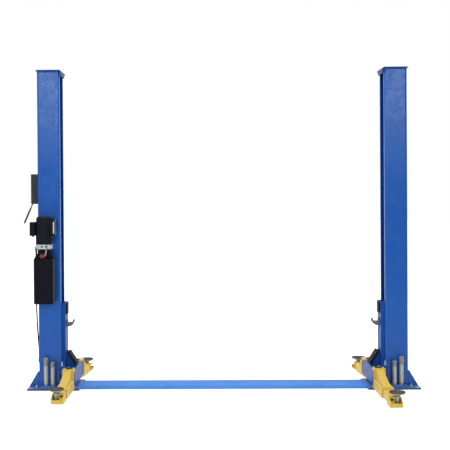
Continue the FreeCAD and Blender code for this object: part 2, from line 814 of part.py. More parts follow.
def arm_locks(side):
    """The sprung pins beside the arms, each with a toothed block and a bell-shaped knob."""
    locks = []
    foot = at.ear_high + at.seat_gap
    block_foot = arm_top + at.lock_lift
    block_top = block_foot + at.lock_block
    for end in (1, -1):
        x, y = side * lock_x, end * lock_y
        pin, collar = at.lock_pin_radius, at.lock_collar_radius
        profile = [(0, at.ear_low - 60), (pin, at.ear_low - 60), (pin, foot), (collar, foot),
                   (collar, foot + at.lock_collar_height), (pin, foot + at.lock_collar_height), (pin, block_top),
                   (at.knob_radius, block_top), (pin - 1, block_top + at.knob_height), (0, block_top + at.knob_height)]
        stem = place(turned_shape(profile), x, y, 0)
        toward = math.atan2(at.lock_inset.value, (lock_x - pin_x).value)
        points = []
        for step in range(-4, 5):
            angle = toward + math.radians(3.5 * step)
            radius = at.gear_root + (2 if step % 2 else 10)
            points.append((side * radius * math.cos(angle), -end * radius * math.sin(angle)))
        for step in (4, 0, -4):
            angle = toward + math.radians(3.5 * step)
            radius = (lock_x - pin_x) * (1 / math.cos(toward)) + collar
            points.append((side * radius * math.cos(angle), -end * radius * math.sin(angle)))
        teeth = place(prism("XY_Plane", points, at.lock_block), side * pin_x, end * at.pin_offset, block_foot)
        locks.append(fuse(stem, teeth))
    return together(*locks)


def pad_line(side, end):
    """How far across its arm a pad stands, along the arm's own X."""
    return side * at.pad_shift if end < 0 else Size(0.0, "0")


def extension(side, end, name, drawn):
    """The tube that slides in an arm, with the pad socket at its tip."""
    reach = at.named(f"{name}_reach")
    half = at.tube_width / 2
    tail = reach - drawn + at.tube_tail
    start, finish, front = reach - at.tip_back, reach + at.tip_ahead, reach + at.deck_ahead
    tube = cut(block((-half, half), (tail, start + 1), (tube_low, tube_high)),
               block((at.tube_wall - half, half - at.tube_wall), (tail - 1, start),
                     (tube_low + at.tube_wall, tube_high - at.tube_wall)))
    wide = at.tip_width / 2
    low, plate = at.arm_bottom, at.tip_plate
    across = pad_line(side, end) * end
    floor = block((-wide, wide), (start, finish), (low, low + plate))
    deck = block((-wide, wide), (start, front), (tube_high - plate, tube_high))
    back = block((-wide, wide), (start, start + plate), (low, tube_high))
    lip = block((-wide, wide), (finish - plate, finish), (low, low + at.tip_lip))
    flank = [(start, low), (finish, low), (finish, low + at.tip_lip), (front, tube_high), (start, tube_high)]
    walls = [place(prism("YZ_Plane", flank, plate), x, 0, 0) for x in (-wide, wide - plate)]
    inward = -side * end
    ledge_in = across + inward * (at.post_radius + 8)
    ledge_out = inward * (wide - 1)
    ledge_x = (ledge_in, ledge_out) if inward > 0 else (ledge_out, ledge_in)
    ledge = block(ledge_x, (start + 1, finish - 1), (at.tip_ledge - 8, at.tip_ledge))
    pin_hole = rod(at.pin_hole_radius, 40, (ledge_in + ledge_out) / 2, front + 18, at.tip_ledge - 20)
    socket = rod(at.post_radius + 8, tube_high - low - plate, across, reach, low + plate)
    window = block((-wide, wide), (front, finish), (low + plate, tube_high + 1))
    bore = rod(at.post_radius + at.post_fit, tube_high, across, reach, low + plate)
    slant = [(front + 1, at.tip_ledge + 1), (finish + 1, low + at.tip_lip), (finish + 1, tube_high),
             (front + 1, tube_high)]
    trim = prism("YZ_Plane", slant, at.tip_width + 2, both_ways=True)
    step = cut(ledge, pin_hole, trim)
    tip = cut(fuse(floor, deck, back, *walls, lip, step, cut(socket, window)), bore)
    return arm_frame(fuse(tube, tip), side, end, name)


def pad(side, end, name):
    """A pad's screw post with its cone-shaped dish and the spigot that holds the rubber."""
    foot = at.arm_bottom + at.tip_plate + at.seat_gap
    r, wide = at.post_radius, at.dish_radius
    seat = at.pad_top - at.rubber_height
    under = seat - at.dish_height
    profile = [(0, foot), (r, foot), (r, tube_high + 6), (r - 5, tube_high + 8), (r - 5, under), (r + 3, under),
               (wide, seat - 5), (wide, seat), (at.spigot_radius, seat), (at.spigot_radius, seat + at.spigot_height),
               (0, seat + at.spigot_height)]
    return on_arm(turned_shape(profile), side, end, name)


def pad_rubber(side, end, name):
    """The rubber disc on a pad, with the recess that fits its spigot."""
    gap = at.seat_gap
    low, top = at.pad_top - at.rubber_height + gap, at.pad_top
    recess = low + at.spigot_height
    hole, r = at.spigot_radius + gap, at.pad_radius
    profile = [(0, recess), (hole, recess), (hole, low), (r - 2, low), (r, low + 3), (r, top - 3), (r - 3, top), (0, top)]
    return on_arm(turned_shape(profile), side, end, name)


def on_arm(thing, side, end, name):
    """Stand a round piece at the pad's place on its arm."""
    angle = at.named(f"{name}_swing")
    reach = at.named(f"{name}_reach")
    sine = Size(math.sin(math.radians(angle.value)), f"sin({angle.formula} * 1deg)")
    cosine = Size(math.cos(math.radians(angle.value)), f"cos({angle.formula} * 1deg)")
    aside = pad_line(side, end) * side
    x = side * (pin_x - reach * sine + aside * cosine)
    y = end * (at.pin_offset + reach * cosine + aside * sine)
    return place(thing, x, y, 0)


def power_unit_bracket():
    """The plate on the left column's front that the power unit bolts to."""
    half = at.bracket_width / 2
    plate = block((-(at.unit_axis + half), -(at.unit_axis - half)), (-(half_depth + at.bracket_plate), -half_depth),
                  (at.bracket_low, at.bracket_high))
    return plate


def motor_housing():
    """The round motor with its stepped end cap."""
    r, low, high = at.motor_radius, at.motor_low, at.motor_high
    cap, step = at.motor_cap, at.motor_step
    profile = [(0, low), (r, low), (r, high - cap), (r - step, high - cap), (r - step, high - 14),
               (r - step - 14, high), (0, high)]
    return place(turned_shape(profile), -at.unit_axis, -at.unit_line, 0)


def capacitor_cover():
    """The cover on the motor's right side, rounded to the motor behind."""
    half = at.capacitor_depth / 2
    right = at.capacitor_reach - at.unit_axis
    low, high = at.capacitor_low, at.capacitor_high
    depths = (-(at.unit_line + half), half - at.unit_line)
    points = [(-at.unit_axis, low), (right - 10, low), (right, low + 14), (right, high - 10), (right - 14, high),
              (-at.unit_axis, high)]
    shell = place(prism("XZ_Plane", points, at.capacitor_depth), 0, depths[1], 0)
    motor = rod(at.motor_radius + at.seat_gap, high - low + 2, -at.unit_axis, -at.unit_line, low - 1)
    beyond = block((-at.unit_axis - 1, -at.unit_axis + at.motor_radius / 2), (depths[0] - 1, depths[1] + 1),
                   (low - 1, high + 1))
    return cut(shell, motor, beyond)


def motor_switch_box():
    """The switch box on the motor's side."""
    right = -(at.unit_axis + at.motor_radius + at.seat_gap)
    half = at.switch_depth / 2
    return block((right - at.switch_width, right), (-at.unit_line - half, half - at.unit_line),
                 (at.switch_low, at.switch_high))


def pump_block():
    """The machined block between the motor and the tank, with its valve stem."""
    body = block((-at.block_left, -at.block_right), (-at.block_front, -(half_depth + at.bracket_plate)),
                 (at.block_low, at.motor_low))
    pocket = block((-at.unit_axis - 26, -at.unit_axis + 6), (-(at.block_front + 1), at.block_pocket - at.block_front),
                   (at.block_low + 8, at.motor_low - 8))
    stem = rod(at.valve_radius, at.valve_reach, -at.valve_x, -at.block_front, at.valve_z, "-y")
    return fuse(cut(body, pocket), stem)


def oil_tank():
    """The moulded oil tank with its sloped shoulders, neck, front shelf and filler boss."""
    left, right = -at.tank_left, -at.tank_right
    fall = at.tank_shoulder
    low, high = at.tank_low, at.tank_high
    points = [(left, -at.tank_front), (right, -at.tank_front), (right, -at.tank_back), (left, -at.tank_back)]
    shell = soften(prism("XY_Plane", points, high - low), at.tank_edge, lambda middle, run: upright(run))

    def at_bottom(middle, run):
        return middle.z < 0.01

    place(soften(shell, at.tank_edge / 2, at_bottom), 0, 0, low)
    shelf = block((left - 1, right + 1), (-(at.tank_front + 1), -at.shelf_y), (at.shelf_z, high + 1))
    shoulders = []
    for edge, inward in ((left, 1), (right, -1)):
        corner = [(edge - inward, high - fall), (edge + inward * fall / 2, high + 1), (edge - inward, high + 1)]
        shoulders.append(place(prism("XZ_Plane", corner, at.tank_front), 0, -at.tank_back + 1, 0))
    neck = block((-(at.unit_axis + at.neck_width / 2), at.neck_width / 2 - at.unit_axis),
                 (-at.neck_front, -(at.tank_back + 1)), (high - 10, at.block_low))
    boss = rod(at.filler_radius - 3, at.filler_boss + 5, -at.filler_x, -at.filler_y, at.shelf_z - 5)
    return fuse(cut(shell, shelf, *shoulders), neck, boss)


def filler_cap():
    """The cap of the tank's filler."""
    low = at.shelf_z + at.filler_boss + at.seat_gap
    r, high = at.filler_radius, low + at.filler_height
    profile = [(0, low), (r, low), (r, high - 6), (r - 5, high), (0, high)]
    return place(turned_shape(profile), -at.filler_x, -at.filler_y, 0)


def release_lever():
    """The lowering lever in front of the valve stem, set over to the left at its foot."""
    front = -(at.block_front + at.valve_reach + at.seat_gap)
    half, bend, foot, over = at.lever_width / 2, at.lever_bend, at.lever_length, at.lever_set
    points = [(-half, at.lever_tail), (half, at.lever_tail), (half, -bend), (half - over, -foot),
              (-half - over, -foot), (-half, -bend)]
    blade = place(prism("XZ_Plane", points, at.lever_plate), -at.valve_x, front, at.valve_z)
    eye = rod(at.valve_radius, at.lever_plate, -at.valve_x, front, at.valve_z, "-y")
    return fuse(blade, eye)


def lock_cover():
    """The sheet cover over the lock release, open below."""
    left = -(at.outer_face + at.lock_width)
    skin = at.lock_sheet
    shell = block((left, -at.outer_face), (-at.lock_front, -at.lock_rear), (at.lock_low, at.lock_high))
    inside = block((left + skin, -at.outer_face + 1), (skin - at.lock_front, -at.lock_rear - skin),
                   (at.lock_low - 1, at.lock_high - skin))
    notch = block((left - 1, left + skin + 1), (skin - at.lock_front, -at.lock_rear - skin),
                  (at.lock_low - 1, at.lock_pivot_z + 20))
    pivot = rod(at.pivot_radius, at.lock_front - at.lock_rear - at.lock_sheet, -at.lock_pivot_x,
                at.lock_sheet / 2 - at.lock_front, at.lock_pivot_z, "y")
    return fuse(cut(shell, inside, notch), pivot)


def lock_lever():
    """The rod with a grip that releases the locks."""
    y = (at.lock_front + at.lock_rear) / -2
    profile = [(0, 0), (at.handle_radius, 0), (at.handle_radius, -(at.handle_length - at.grip_length)),
               (at.grip_radius, 2 - (at.handle_length - at.grip_length) - 4),
               (at.grip_radius, 4 - at.handle_length), (at.grip_radius - 4, -at.handle_length), (0, -at.handle_length)]
    stick = turned_shape(profile)
    turn(stick, (0, 1, 0), at.handle_lean)
    place(stick, -at.lock_pivot_x, y, at.lock_pivot_z)
    eye = rod(at.eye_radius, at.eye_width, -at.lock_pivot_x, y - at.eye_width / 2, at.lock_pivot_z, "y")
    bore = rod(at.pivot_radius + at.pin_fit, 2 * at.eye_width, -at.lock_pivot_x, y - at.eye_width,
               at.lock_pivot_z, "y")
    return cut(fuse(stick, eye), bore)


# The hose's route from the pump block down to the column, point by point.
HOSE = [(-1648, -151, 1238), (-1648, -151, 1110), (-1652, -147, 960), (-1652, -140, 810), (-1650, -128, 660),
        (-1649, -104, 540), (-1650, -62, 440), (-1652, -16, 360), (-1653, 10, 300), (-1653, 10, 240)]


def hose():
    """The hose: straight runs joined by tangent arcs."""
    spots = [FreeCAD.Vector(*spot) for spot in HOSE]
    edges, here = [], spots[0]
    for before, corner, after in zip(spots, spots[1:], spots[2:]):
        arrive, leave = corner - before, after - corner
        back = 0.45 * min(arrive.Length, leave.Length)
        arrive.normalize()
        leave.normalize()
        turn_angle = arrive.getAngle(leave)
        radius = back / math.tan(turn_angle / 2)
        start, stop = corner - arrive * back, corner + leave * back
        middle = (start + stop) / 2
        centre = corner + (middle - corner).normalize() * (radius / math.cos(turn_angle / 2))
        crown = centre + (corner - centre).normalize() * radius
        edges.append(Part.LineSegment(here, start).toShape())
        edges.append(Part.Arc(start, crown, stop).toShape())
        here = stop
        print(f"hose bend radius {radius:.0f}")
    edges.append(Part.LineSegment(here, spots[-1]).toShape())
    path = Part.Wire(edges)
    ring = Part.Wire(Part.Circle(spots[0], spots[1] - spots[0], at.hose_radius.value).toShape())
    thing = doc.addObject("Part::Feature", "Hose")
    thing.Shape = path.makePipeShell([ring], True, True)
    section = math.pi * at.hose_radius.value ** 2
    print(f"hose length {path.Length:.1f}, volume over section {thing.Shape.Volume / section:.1f}")
    return thing


def hose_fittings():
    """The elbows at both ends of the hose."""
    r = at.fitting_radius
    (x1, y1, z1), (x2, y2, z2) = HOSE[0], HOSE[-1]
    top = fuse(rod(r, 28, x1, y1, z1), rod(r, -x1 - at.block_left, -at.block_left, y1, z1 + 24, "-x"))
    low = fuse(rod(r, 28, x2, y2, z2 - 28), rod(r, -x2 - at.outer_face, -at.outer_face, y2, z2 - 24, "-x"))
    return together(top, low)


for word, side in (("left", -1), ("right", 1)):
    node(column(side), f"{word}_column")
    node(base_plate(side), f"{word}_base_plate")
    node(carriage(side), f"{word}_carriage")
    node(slide_blocks(side), f"{word}_slide_blocks")
    node(door_guards(side), f"{word}_door_guards")
    node(hanger_hook(side), f"{word}_hanger_hook")
    node(arm_pins(side), f"{word}_arm_pins")
    node(arm_locks(side), f"{word}_arm_locks")
    node(cylinder_rod(side), f"{word}_cylinder_rod")
    node(sheave(side), f"{word}_chain_sheave")
    node(lift_chain(side), f"{word}_lift_chain")
    for place_word, end in (("front", -1), ("rear", 1)):
        name = f"{word}_{place_word}"
        node(arm(side, end, name, at.named(f"{place_word}_mouth")), f"{name}_arm")
        node(extension(side, end, name, at.named(f"{place_word}_drawn")), f"{name}_extension")
        node(pad(side, end, name), f"{name}_pad")
        node(pad_rubber(side, end, name), f"{name}_pad_rubber")
node(together(*[gusset(side, front) for side in (-1, 1) for front in (True, False)]), "base_gussets")
node(together(top_cap(-1), top_cap(1)), "top_caps")
node(floor_cover(), "floor_cover")
node(together(adapter_rack(-1), adapter_rack(1)), "adapter_racks")
adapters = [adapter(side, x, top, collar) for side in (-1, 1)
            for x, top, collar in ((at.tall_adapter, at.tall_top, at.tall_collar),
                                   (at.short_adapter, at.short_top, at.short_collar))]
node(together(*adapters), "height_adapters")
node(together(cylinder(-1), cylinder(1)), "cylinder_barrels")
node(together(lock_ladder(-1), lock_ladder(1)), "lock_ladders")
node(power_unit_bracket(), "power_unit_bracket")
node(motor_housing(), "motor_housing")
node(capacitor_cover(), "motor_capacitor_cover")
node(motor_switch_box(), "motor_switch_box")
node(pump_block(), "pump_block")
node(oil_tank(), "oil_tank")
node(filler_cap(), "tank_filler_cap")
node(release_lever(), "release_lever")
node(lock_cover(), "lock_cover")
node(lock_lever(), "lock_lever")
node(hose(), "hydraulic_hose")
node(hose_fittings(), "hose_fittings")

doc.recompute()
failed = [thing.Label for thing in doc.Objects if {"Invalid", "Error"} & set(thing.State)]
failed += [thing.Label for thing in pieces if thing.Shape.isNull() or not thing.Shape.isValid()]
if failed:
    raise RuntimeError(f"these did not build: {failed}")
os.makedirs("parts", exist_ok=True)
for thing in pieces:
    thing.Shape.exportStep(f"parts/{thing.Label}.step")
    print(f"{thing.Label}: {len(thing.Shape.Solids)} solids, {thing.Shape.Volume / 1000:.0f} cm3")
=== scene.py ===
# %% [markdown]
# # A two post car lift in blue and yellow enamel
#
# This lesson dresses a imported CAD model. The model holds every steel piece at its real size, and stays
# where it is. Blender adds the finishes, the small fasteners, the weld beads, the chain's links, the
# moulded forms of the power unit and the hose, then lights the lift in a plain studio.
#
# The first cell loads the model. Everything is in metres: X runs to the right post, Y to the back, Z up.

# %% Load the model
import json
import math

import bpy
import bmesh
from mathutils import Matrix, Vector


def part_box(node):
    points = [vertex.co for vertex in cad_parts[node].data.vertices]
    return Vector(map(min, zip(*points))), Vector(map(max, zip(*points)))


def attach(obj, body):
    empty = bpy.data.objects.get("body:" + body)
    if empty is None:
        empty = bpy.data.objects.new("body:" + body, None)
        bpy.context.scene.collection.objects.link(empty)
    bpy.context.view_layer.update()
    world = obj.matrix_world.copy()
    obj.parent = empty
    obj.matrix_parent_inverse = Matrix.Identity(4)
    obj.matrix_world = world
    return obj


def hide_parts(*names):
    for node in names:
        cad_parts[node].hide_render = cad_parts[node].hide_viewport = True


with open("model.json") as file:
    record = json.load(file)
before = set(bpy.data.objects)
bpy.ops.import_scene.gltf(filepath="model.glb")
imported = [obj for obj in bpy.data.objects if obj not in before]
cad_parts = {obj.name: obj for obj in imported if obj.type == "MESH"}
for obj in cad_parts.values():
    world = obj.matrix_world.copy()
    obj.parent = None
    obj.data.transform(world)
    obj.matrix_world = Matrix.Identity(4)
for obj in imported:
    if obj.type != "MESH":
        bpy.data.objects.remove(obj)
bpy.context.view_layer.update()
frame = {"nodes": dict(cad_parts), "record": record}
nodes = frame["nodes"]
record = frame["record"]
scene = bpy.context.scene

# %% [markdown]
# ## The camera
#
# The photograph was taken with a long lens from about nine metres, at a person's eye height. A camera could
# be turned by eye until the picture looks right. Here its place and turn are real lengths and angles, found
# by fitting the corners of the posts and base plates, because every size was read through this camera. The
# shift is small: the photograph's frame sits a little off the lens's axis.

# %% Camera
IMAGE_PIXELS = 450
CAMERA_PLACE = Vector((-0.1442, -9.2684, 1.7062))
CAMERA_YAW = math.radians(-1.146)        # a little to the left of straight ahead
CAMERA_PITCH = math.radians(-0.515)      # a little down from level
CAMERA_ROLL = math.radians(-0.4)
FOCAL_PIXELS = 1032.37
SHIFT_PIXELS = (-40, -20)                # where the lens's axis falls from the middle of the frame
SENSOR = 36.0                            # millimetres

camera_data = bpy.data.cameras.new("camera")
camera_data.sensor_width = SENSOR
camera_data.lens = FOCAL_PIXELS / IMAGE_PIXELS * SENSOR
camera_data.shift_x = -SHIFT_PIXELS[0] / IMAGE_PIXELS
camera_data.shift_y = SHIFT_PIXELS[1] / IMAGE_PIXELS
camera_data.clip_start, camera_data.clip_end = 0.1, 200
camera = bpy.data.objects.new("camera", camera_data)
scene.collection.objects.link(camera)
flat = math.cos(CAMERA_PITCH)
forward = Vector((math.sin(CAMERA_YAW) * flat, math.cos(CAMERA_YAW) * flat, math.sin(CAMERA_PITCH)))
level = Vector((math.cos(CAMERA_YAW), -math.sin(CAMERA_YAW), 0))
upward = level.cross(forward)
right = level * math.cos(CAMERA_ROLL) + upward * math.sin(CAMERA_ROLL)
upward = upward * math.cos(CAMERA_ROLL) - level * math.sin(CAMERA_ROLL)
camera.matrix_world = Matrix((
    (right.x, upward.x, -forward.x, CAMERA_PLACE.x),
    (right.y, upward.y, -forward.y, CAMERA_PLACE.y),
    (right.z, upward.z, -forward.z, CAMERA_PLACE.z),
    (0, 0, 0, 1)))
scene.camera = camera
print("lens", round(camera_data.lens, 1), "mm, shift", round(camera_data.shift_x, 3),
      round(camera_data.shift_y, 3))

# %% [markdown]
# ## Tools for materials
#
# A finish could be a photograph wrapped round each piece, but a picture stretches over bent plate. A small
# node tree on Object coordinates keeps its real size on every piece. One function turns a hex colour to
# linear, one gives a node's inputs their links and values, and one adds a node with its settings and links.
# A node that stands as a value is linked by its first output in use, so a chain of nodes reads in its order.

# %% Material helpers
COLOUR_MIX = {"data_type": "RGBA"}       # settings of a mix: input 0 is the amount, 6 and 7 the two colours
TIMES = {"operation": "MULTIPLY"}


def linear(hex_colour):
    """A colour such as #1f5aa8 as linear red, green, blue and alpha."""
    parts = [int(hex_colour[i:i + 2], 16) / 255 for i in (1, 3, 5)]
    return tuple(p / 12.92 if p <= 0.04045 else ((p + 0.055) / 1.055) ** 2.4 for p in parts) + (1.0,)


def plug(tree, node, **links):
    """Give inputs of a node, called by name or as i and a number, a link or a value each."""
    for name, value in links.items():
        key = int(name[1:]) if name[0] == "i" and name[1:].isdigit() else name.replace("_", " ")
        if isinstance(value, bpy.types.Node):
            value = next(output for output in value.outputs if output.enabled)
        if isinstance(value, bpy.types.NodeSocket):
            tree.links.new(value, node.inputs[key])
        else:
            node.inputs[key].default_value = value
    return node


def add(tree, kind, settings=None, **links):
    """Add a node of a kind, with its settings and links."""
    made = tree.nodes.new(kind)
    for name, value in (settings or {}).items():
        setattr(made, name, value)
    return plug(tree, made, **links)


def finish_named(name):
    """An empty finish: its tree, its shader and its Object coordinates."""
    material = bpy.data.materials.new(name)
    material.use_nodes = True
    tree = material.node_tree
    shader = tree.nodes["Principled BSDF"]
    place = add(tree, "ShaderNodeTexCoord").outputs["Object"]
    return material, tree, shader, place


def patches(tree, place, size, detail, within, amounts, crisp=0.55):
    """Soft patches about a size in metres: noise within two values, taken to the amounts they stand for."""
    cloud = add(tree, "ShaderNodeTexNoise", Vector=place, Scale=1 / size, Detail=detail, Roughness=crisp)
    return add(tree, "ShaderNodeMapRange", Value=cloud, From_Min=within[0], From_Max=within[1],
               To_Min=amounts[0], To_Max=amounts[1])


def eased_edges(tree, radius):
    """The normal of a surface whose edges are eased, and how near an edge a point is, from 0 to 1."""
    eased = add(tree, "ShaderNodeBevel", {"samples": 4}, Radius=radius)
    plain = add(tree, "ShaderNodeNewGeometry").outputs["Normal"]
    alike = add(tree, "ShaderNodeVectorMath", {"operation": "DOT_PRODUCT"}, i0=eased, i1=plain)
    return eased, add(tree, "ShaderNodeMapRange", Value=alike, From_Min=0.995, From_Max=0.8)


# %% [markdown]
# ### Enamel on steel
#
# The posts, carriages and arms are sprayed enamel: a coloured coat with a slight orange peel, glossy but not
# a mirror. One flat colour would look like plastic, because a painted plate is never one colour. Broad soft
# patches shift it a little, fine noise gives the peel, each pressed or sawn edge pales in patches, partly where
# the coat wears thin and partly as a painted highlight, and dust gathers near the floor. Upright faces can take
# a darker tone, which is painted shade. One function holds all of that, and each blue has its own tones.

# %% Enamel
PEEL_SIZE = 0.006          # orange peel is 1 to 2 mm on the real coat, drawn coarser so that it shows
PEEL_DEPTH = 0.0002
BLOTCH_SIZE = 0.35         # about the width of a pass of the spray gun
BLOTCH_MOST = 0.5
EDGE_PALE_SIZE = 0.02           # pale patches along an edge, 20 mm apart: coat worn thin, and painted highlight
DUST_SIZE = 0.03           # dust lies in spots about 30 mm apart
SHEEN_SIZE = 0.05          # duller and glossier coat by turns, 50 mm apart
EDGE_EASE = 0.0035         # sprayed plate edges are about this round


def enamel(name, colour, pale, edge, dusty, rough=0.36, gloss=0.3, dust_height=0.22, dust_most=0.3,
           sides=None):
    """Sprayed enamel: its colour, the tone it drifts to, the tone of its edges (wear and painted highlight),
    its dust, and the painted shade of its upright sides.
    """
    material, tree, shader, place = finish_named(name)
    eased, near_edge = eased_edges(tree, EDGE_EASE)
    drift = patches(tree, place, BLOTCH_SIZE, 2.0, (0.35, 0.7), (0.0, BLOTCH_MOST))
    tone = add(tree, "ShaderNodeMix", COLOUR_MIX, i0=drift, i6=linear(colour), i7=linear(pale))
    # Edges pale in patches: partly coat worn thin, partly a painted highlight.
    edge_patches = patches(tree, place, EDGE_PALE_SIZE, 4.0, (0.3, 0.7), (0.35, 0.9))
    worn_and_lit_edge = add(tree, "ShaderNodeMath", TIMES, i0=near_edge, i1=edge_patches)
    tone = add(tree, "ShaderNodeMix", COLOUR_MIX, i0=worn_and_lit_edge, i6=tone, i7=linear(edge))
    height = add(tree, "ShaderNodeSeparateXYZ", Vector=place).outputs["Z"]
    low = add(tree, "ShaderNodeMapRange", Value=height, From_Max=dust_height, To_Min=1.0, To_Max=0.0)
    specks = patches(tree, place, DUST_SIZE, 5.0, (0.4, 0.75), (0.0, dust_most), 0.7)
    film = add(tree, "ShaderNodeMath", TIMES, i0=low, i1=specks)
    tone = add(tree, "ShaderNodeMix", COLOUR_MIX, i0=film, i6=tone, i7=linear(dusty))
    # Upright faces take the sides tone: painted shade, and on the base plates also the dark of their bare
    # edges.
    if sides:
        normal = add(tree, "ShaderNodeNewGeometry").outputs["Normal"]
        facing = add(tree, "ShaderNodeSeparateXYZ", Vector=normal).outputs["Z"]
        flat = add(tree, "ShaderNodeMath", {"operation": "ABSOLUTE"}, i0=facing)
        upright = add(tree, "ShaderNodeMapRange", Value=flat, From_Min=0.3, From_Max=0.7, To_Min=0.85,
                      To_Max=0.0)
        tone = add(tree, "ShaderNodeMix", COLOUR_MIX, i0=upright, i6=tone, i7=linear(sides))
    peel = add(tree, "ShaderNodeTexNoise", Vector=place, Scale=1 / PEEL_SIZE, Detail=2.0, Roughness=0.55)
    plug(tree, shader, Base_Color=tone, Specular_IOR_Level=gloss,
         Roughness=patches(tree, place, SHEEN_SIZE, 4.0, (0.3, 0.7), (rough - 0.05, rough + 0.09)),
         Normal=add(tree, "ShaderNodeBump", Height=peel, Distance=PEEL_DEPTH, Strength=0.3, Normal=eased))
    return material


# The posts' coat is the glossiest: a deep blue that pales where the long light runs up it.
post_blue = enamel("blue post enamel", "#0657b2", "#0e5fba", "#5b8cd0", "#6d7f96", rough=0.22, gloss=0.42)
# The cap plates lie out of the light: their coat looks dull, and its upright faces are painted darker, as
# painted shade.
cap_blue = enamel("blue cap enamel", "#124c9e", "#1a57aa", "#2c5fa4", "#6d7f96", rough=0.5, sides="#1d3a68")
# The floor cover is trodden dull, and is the palest blue of the lift.
cover_blue = enamel("blue cover enamel", "#2f7ad0", "#4289d8", "#7f9fd6", "#8fa3bb", rough=0.55,
                    dust_height=0.03, dust_most=0.15)
# The carriages' plates are a soft mid blue without much shine.
carriage_blue = enamel("blue carriage enamel", "#164e9f", "#2a5cab", "#5c76b4", "#6d7f96", gloss=0.1)
# The base plates are walked on: a pale, dusty top over dark upright edges, partly bare steel and partly painted
# shade.
plate_blue = enamel("blue plate enamel", "#3570c8", "#6c97d8", "#a8bfe6", "#a9b9d6", rough=0.3, dust_most=0.5,
                    sides="#2b3648")
# The arms are a warm yellow with a satin look, paler along each edge, with wear and a painted highlight.
arm_yellow = enamel("yellow arm enamel", "#dcb84a", "#e4c464", "#ead69a", "#b39a6a", gloss=0.12,
                    dust_height=0.06)
print("enamels", [finish.name for finish in bpy.data.materials if "enamel" in finish.name])

# %% [markdown]
# ### Bare and plated metal
#
# Zinc plate is grey and soft, with cloudy spangle. Machined aluminium is brighter and finely lined. Hard
# chrome is the only mirror on the lift. Oiled steel is dark, and its film makes the roughness uneven. Each
# could have its own tree, but they differ only in colour, polish and the size of their clouds, so one
# function with those as its arguments makes them all.

# %% Metals
PLATE_EASE = 0.0012        # cut and plated edges are sharper than painted ones
# Metal edges pale towards this tone: partly rubbed bright, partly a painted highlight.
RUBBED_AND_LIT_METAL = "#e8e8e8"
RUBBED_AND_LIT_MOST = 0.4


def metal(name, colour, shade, rough, cloud=0.02, contrast=0.5, depth=0.0001, grain=None, shine=1.0):
    """A metal surface: a colour and a shade in clouds of a size in metres, and a relief with a depth."""
    material, tree, shader, place = finish_named(name)
    eased, near_edge = eased_edges(tree, PLATE_EASE)
    lined = add(tree, "ShaderNodeMapping", Vector=place, Scale=grain) if grain else place
    clouds = add(tree, "ShaderNodeTexNoise", Vector=lined, Scale=1 / cloud, Detail=4.0, Roughness=0.6)
    share = add(tree, "ShaderNodeMapRange", Value=clouds, From_Min=0.3, From_Max=0.7, To_Max=contrast)
    tone = add(tree, "ShaderNodeMix", COLOUR_MIX, i0=share, i6=linear(colour), i7=linear(shade))
    # Edges pale: rubbed metal, and a painted highlight.
    rubbed_and_lit_edges = add(tree, "ShaderNodeMath", TIMES, i0=near_edge, i1=RUBBED_AND_LIT_MOST)
    tone = add(tree, "ShaderNodeMix", COLOUR_MIX, i0=rubbed_and_lit_edges, i6=tone, i7=linear(RUBBED_AND_LIT_METAL))
    plug(tree, shader, Base_Color=tone, Metallic=shine,
         Roughness=patches(tree, place, cloud * 2, 3.0, (0.3, 0.7), (rough - 0.07, rough + 0.08)),
         Normal=add(tree, "ShaderNodeBump", Height=clouds, Distance=depth, Strength=0.4, Normal=eased))
    return material


# Zinc plate shows a soft light grey with clouds about 20 mm wide.
zinc = metal("zinc plated steel", "#c2c1be", "#9a9997", 0.45)
# The adapters' zinc has gone white and chalky, so it mirrors less.
adapter_zinc = metal("aged zinc tube", "#c8c8c0", "#acaba6", 0.5, shine=0.5)
# Oil has soaked into the worn collars, so they look a warm brown grey beside the stems.
adapter_brown = metal("oiled tube collar", "#9c9894", "#7d7876", 0.5, shine=0.5)
# Cast steel is matt and even, a mid grey.
hook_steel = metal("cast hook steel", "#77747c", "#55525a", 0.55, shine=0.3)
# Oil darkens steel, and its wet film gives small sharp highlights.
dark_steel = metal("oiled steel", "#4a4a4d", "#2f2f33", 0.38)
# Chain plates are blackened and greased: the darkest metal here, in which only the pins' ends glint.
link_steel = metal("blackened chain steel", "#3b3a3c", "#252528", 0.35)
# Hard chrome on the cylinder rods is a near mirror.
chrome = metal("hard chrome", "#d6d8db", "#c2c5c9", 0.16, contrast=0.3, depth=0.00002)
# Milling leaves the pump block bright, with level lines about 4 mm long and a third of a millimetre high.
aluminium = metal("machined aluminium", "#dddee0", "#b4b6ba", 0.36, cloud=0.004, grain=(1, 1, 12))
print("materials so far", len(bpy.data.materials))

# %% [markdown]
# ### Rubber and moulded plastic
#
# Rubber is nearly black and dull, with a dusting of grey where doors and sills have rubbed it. The tank is
# blow moulded and the covers are textured, so both carry a fine grain. Dark pieces need a pale edge more than
# others do, because without it they read as holes in the picture, so their edges carry a painted highlight
# as pale as the scuffs.

# %% Rubber and plastics
SCUFF_SIZE = 0.04          # a shoe or a sill leaves marks about 40 mm long
POLISH_SIZE = 0.02         # hands polish it in spots of 20 mm
MOULD_EASE = 0.003         # moulded corners are about this round
MOULD_GRAIN = 0.0025       # a mould's texture is finer than 1 mm, drawn coarser so that it shows
MOULD_DEPTH = 0.0002


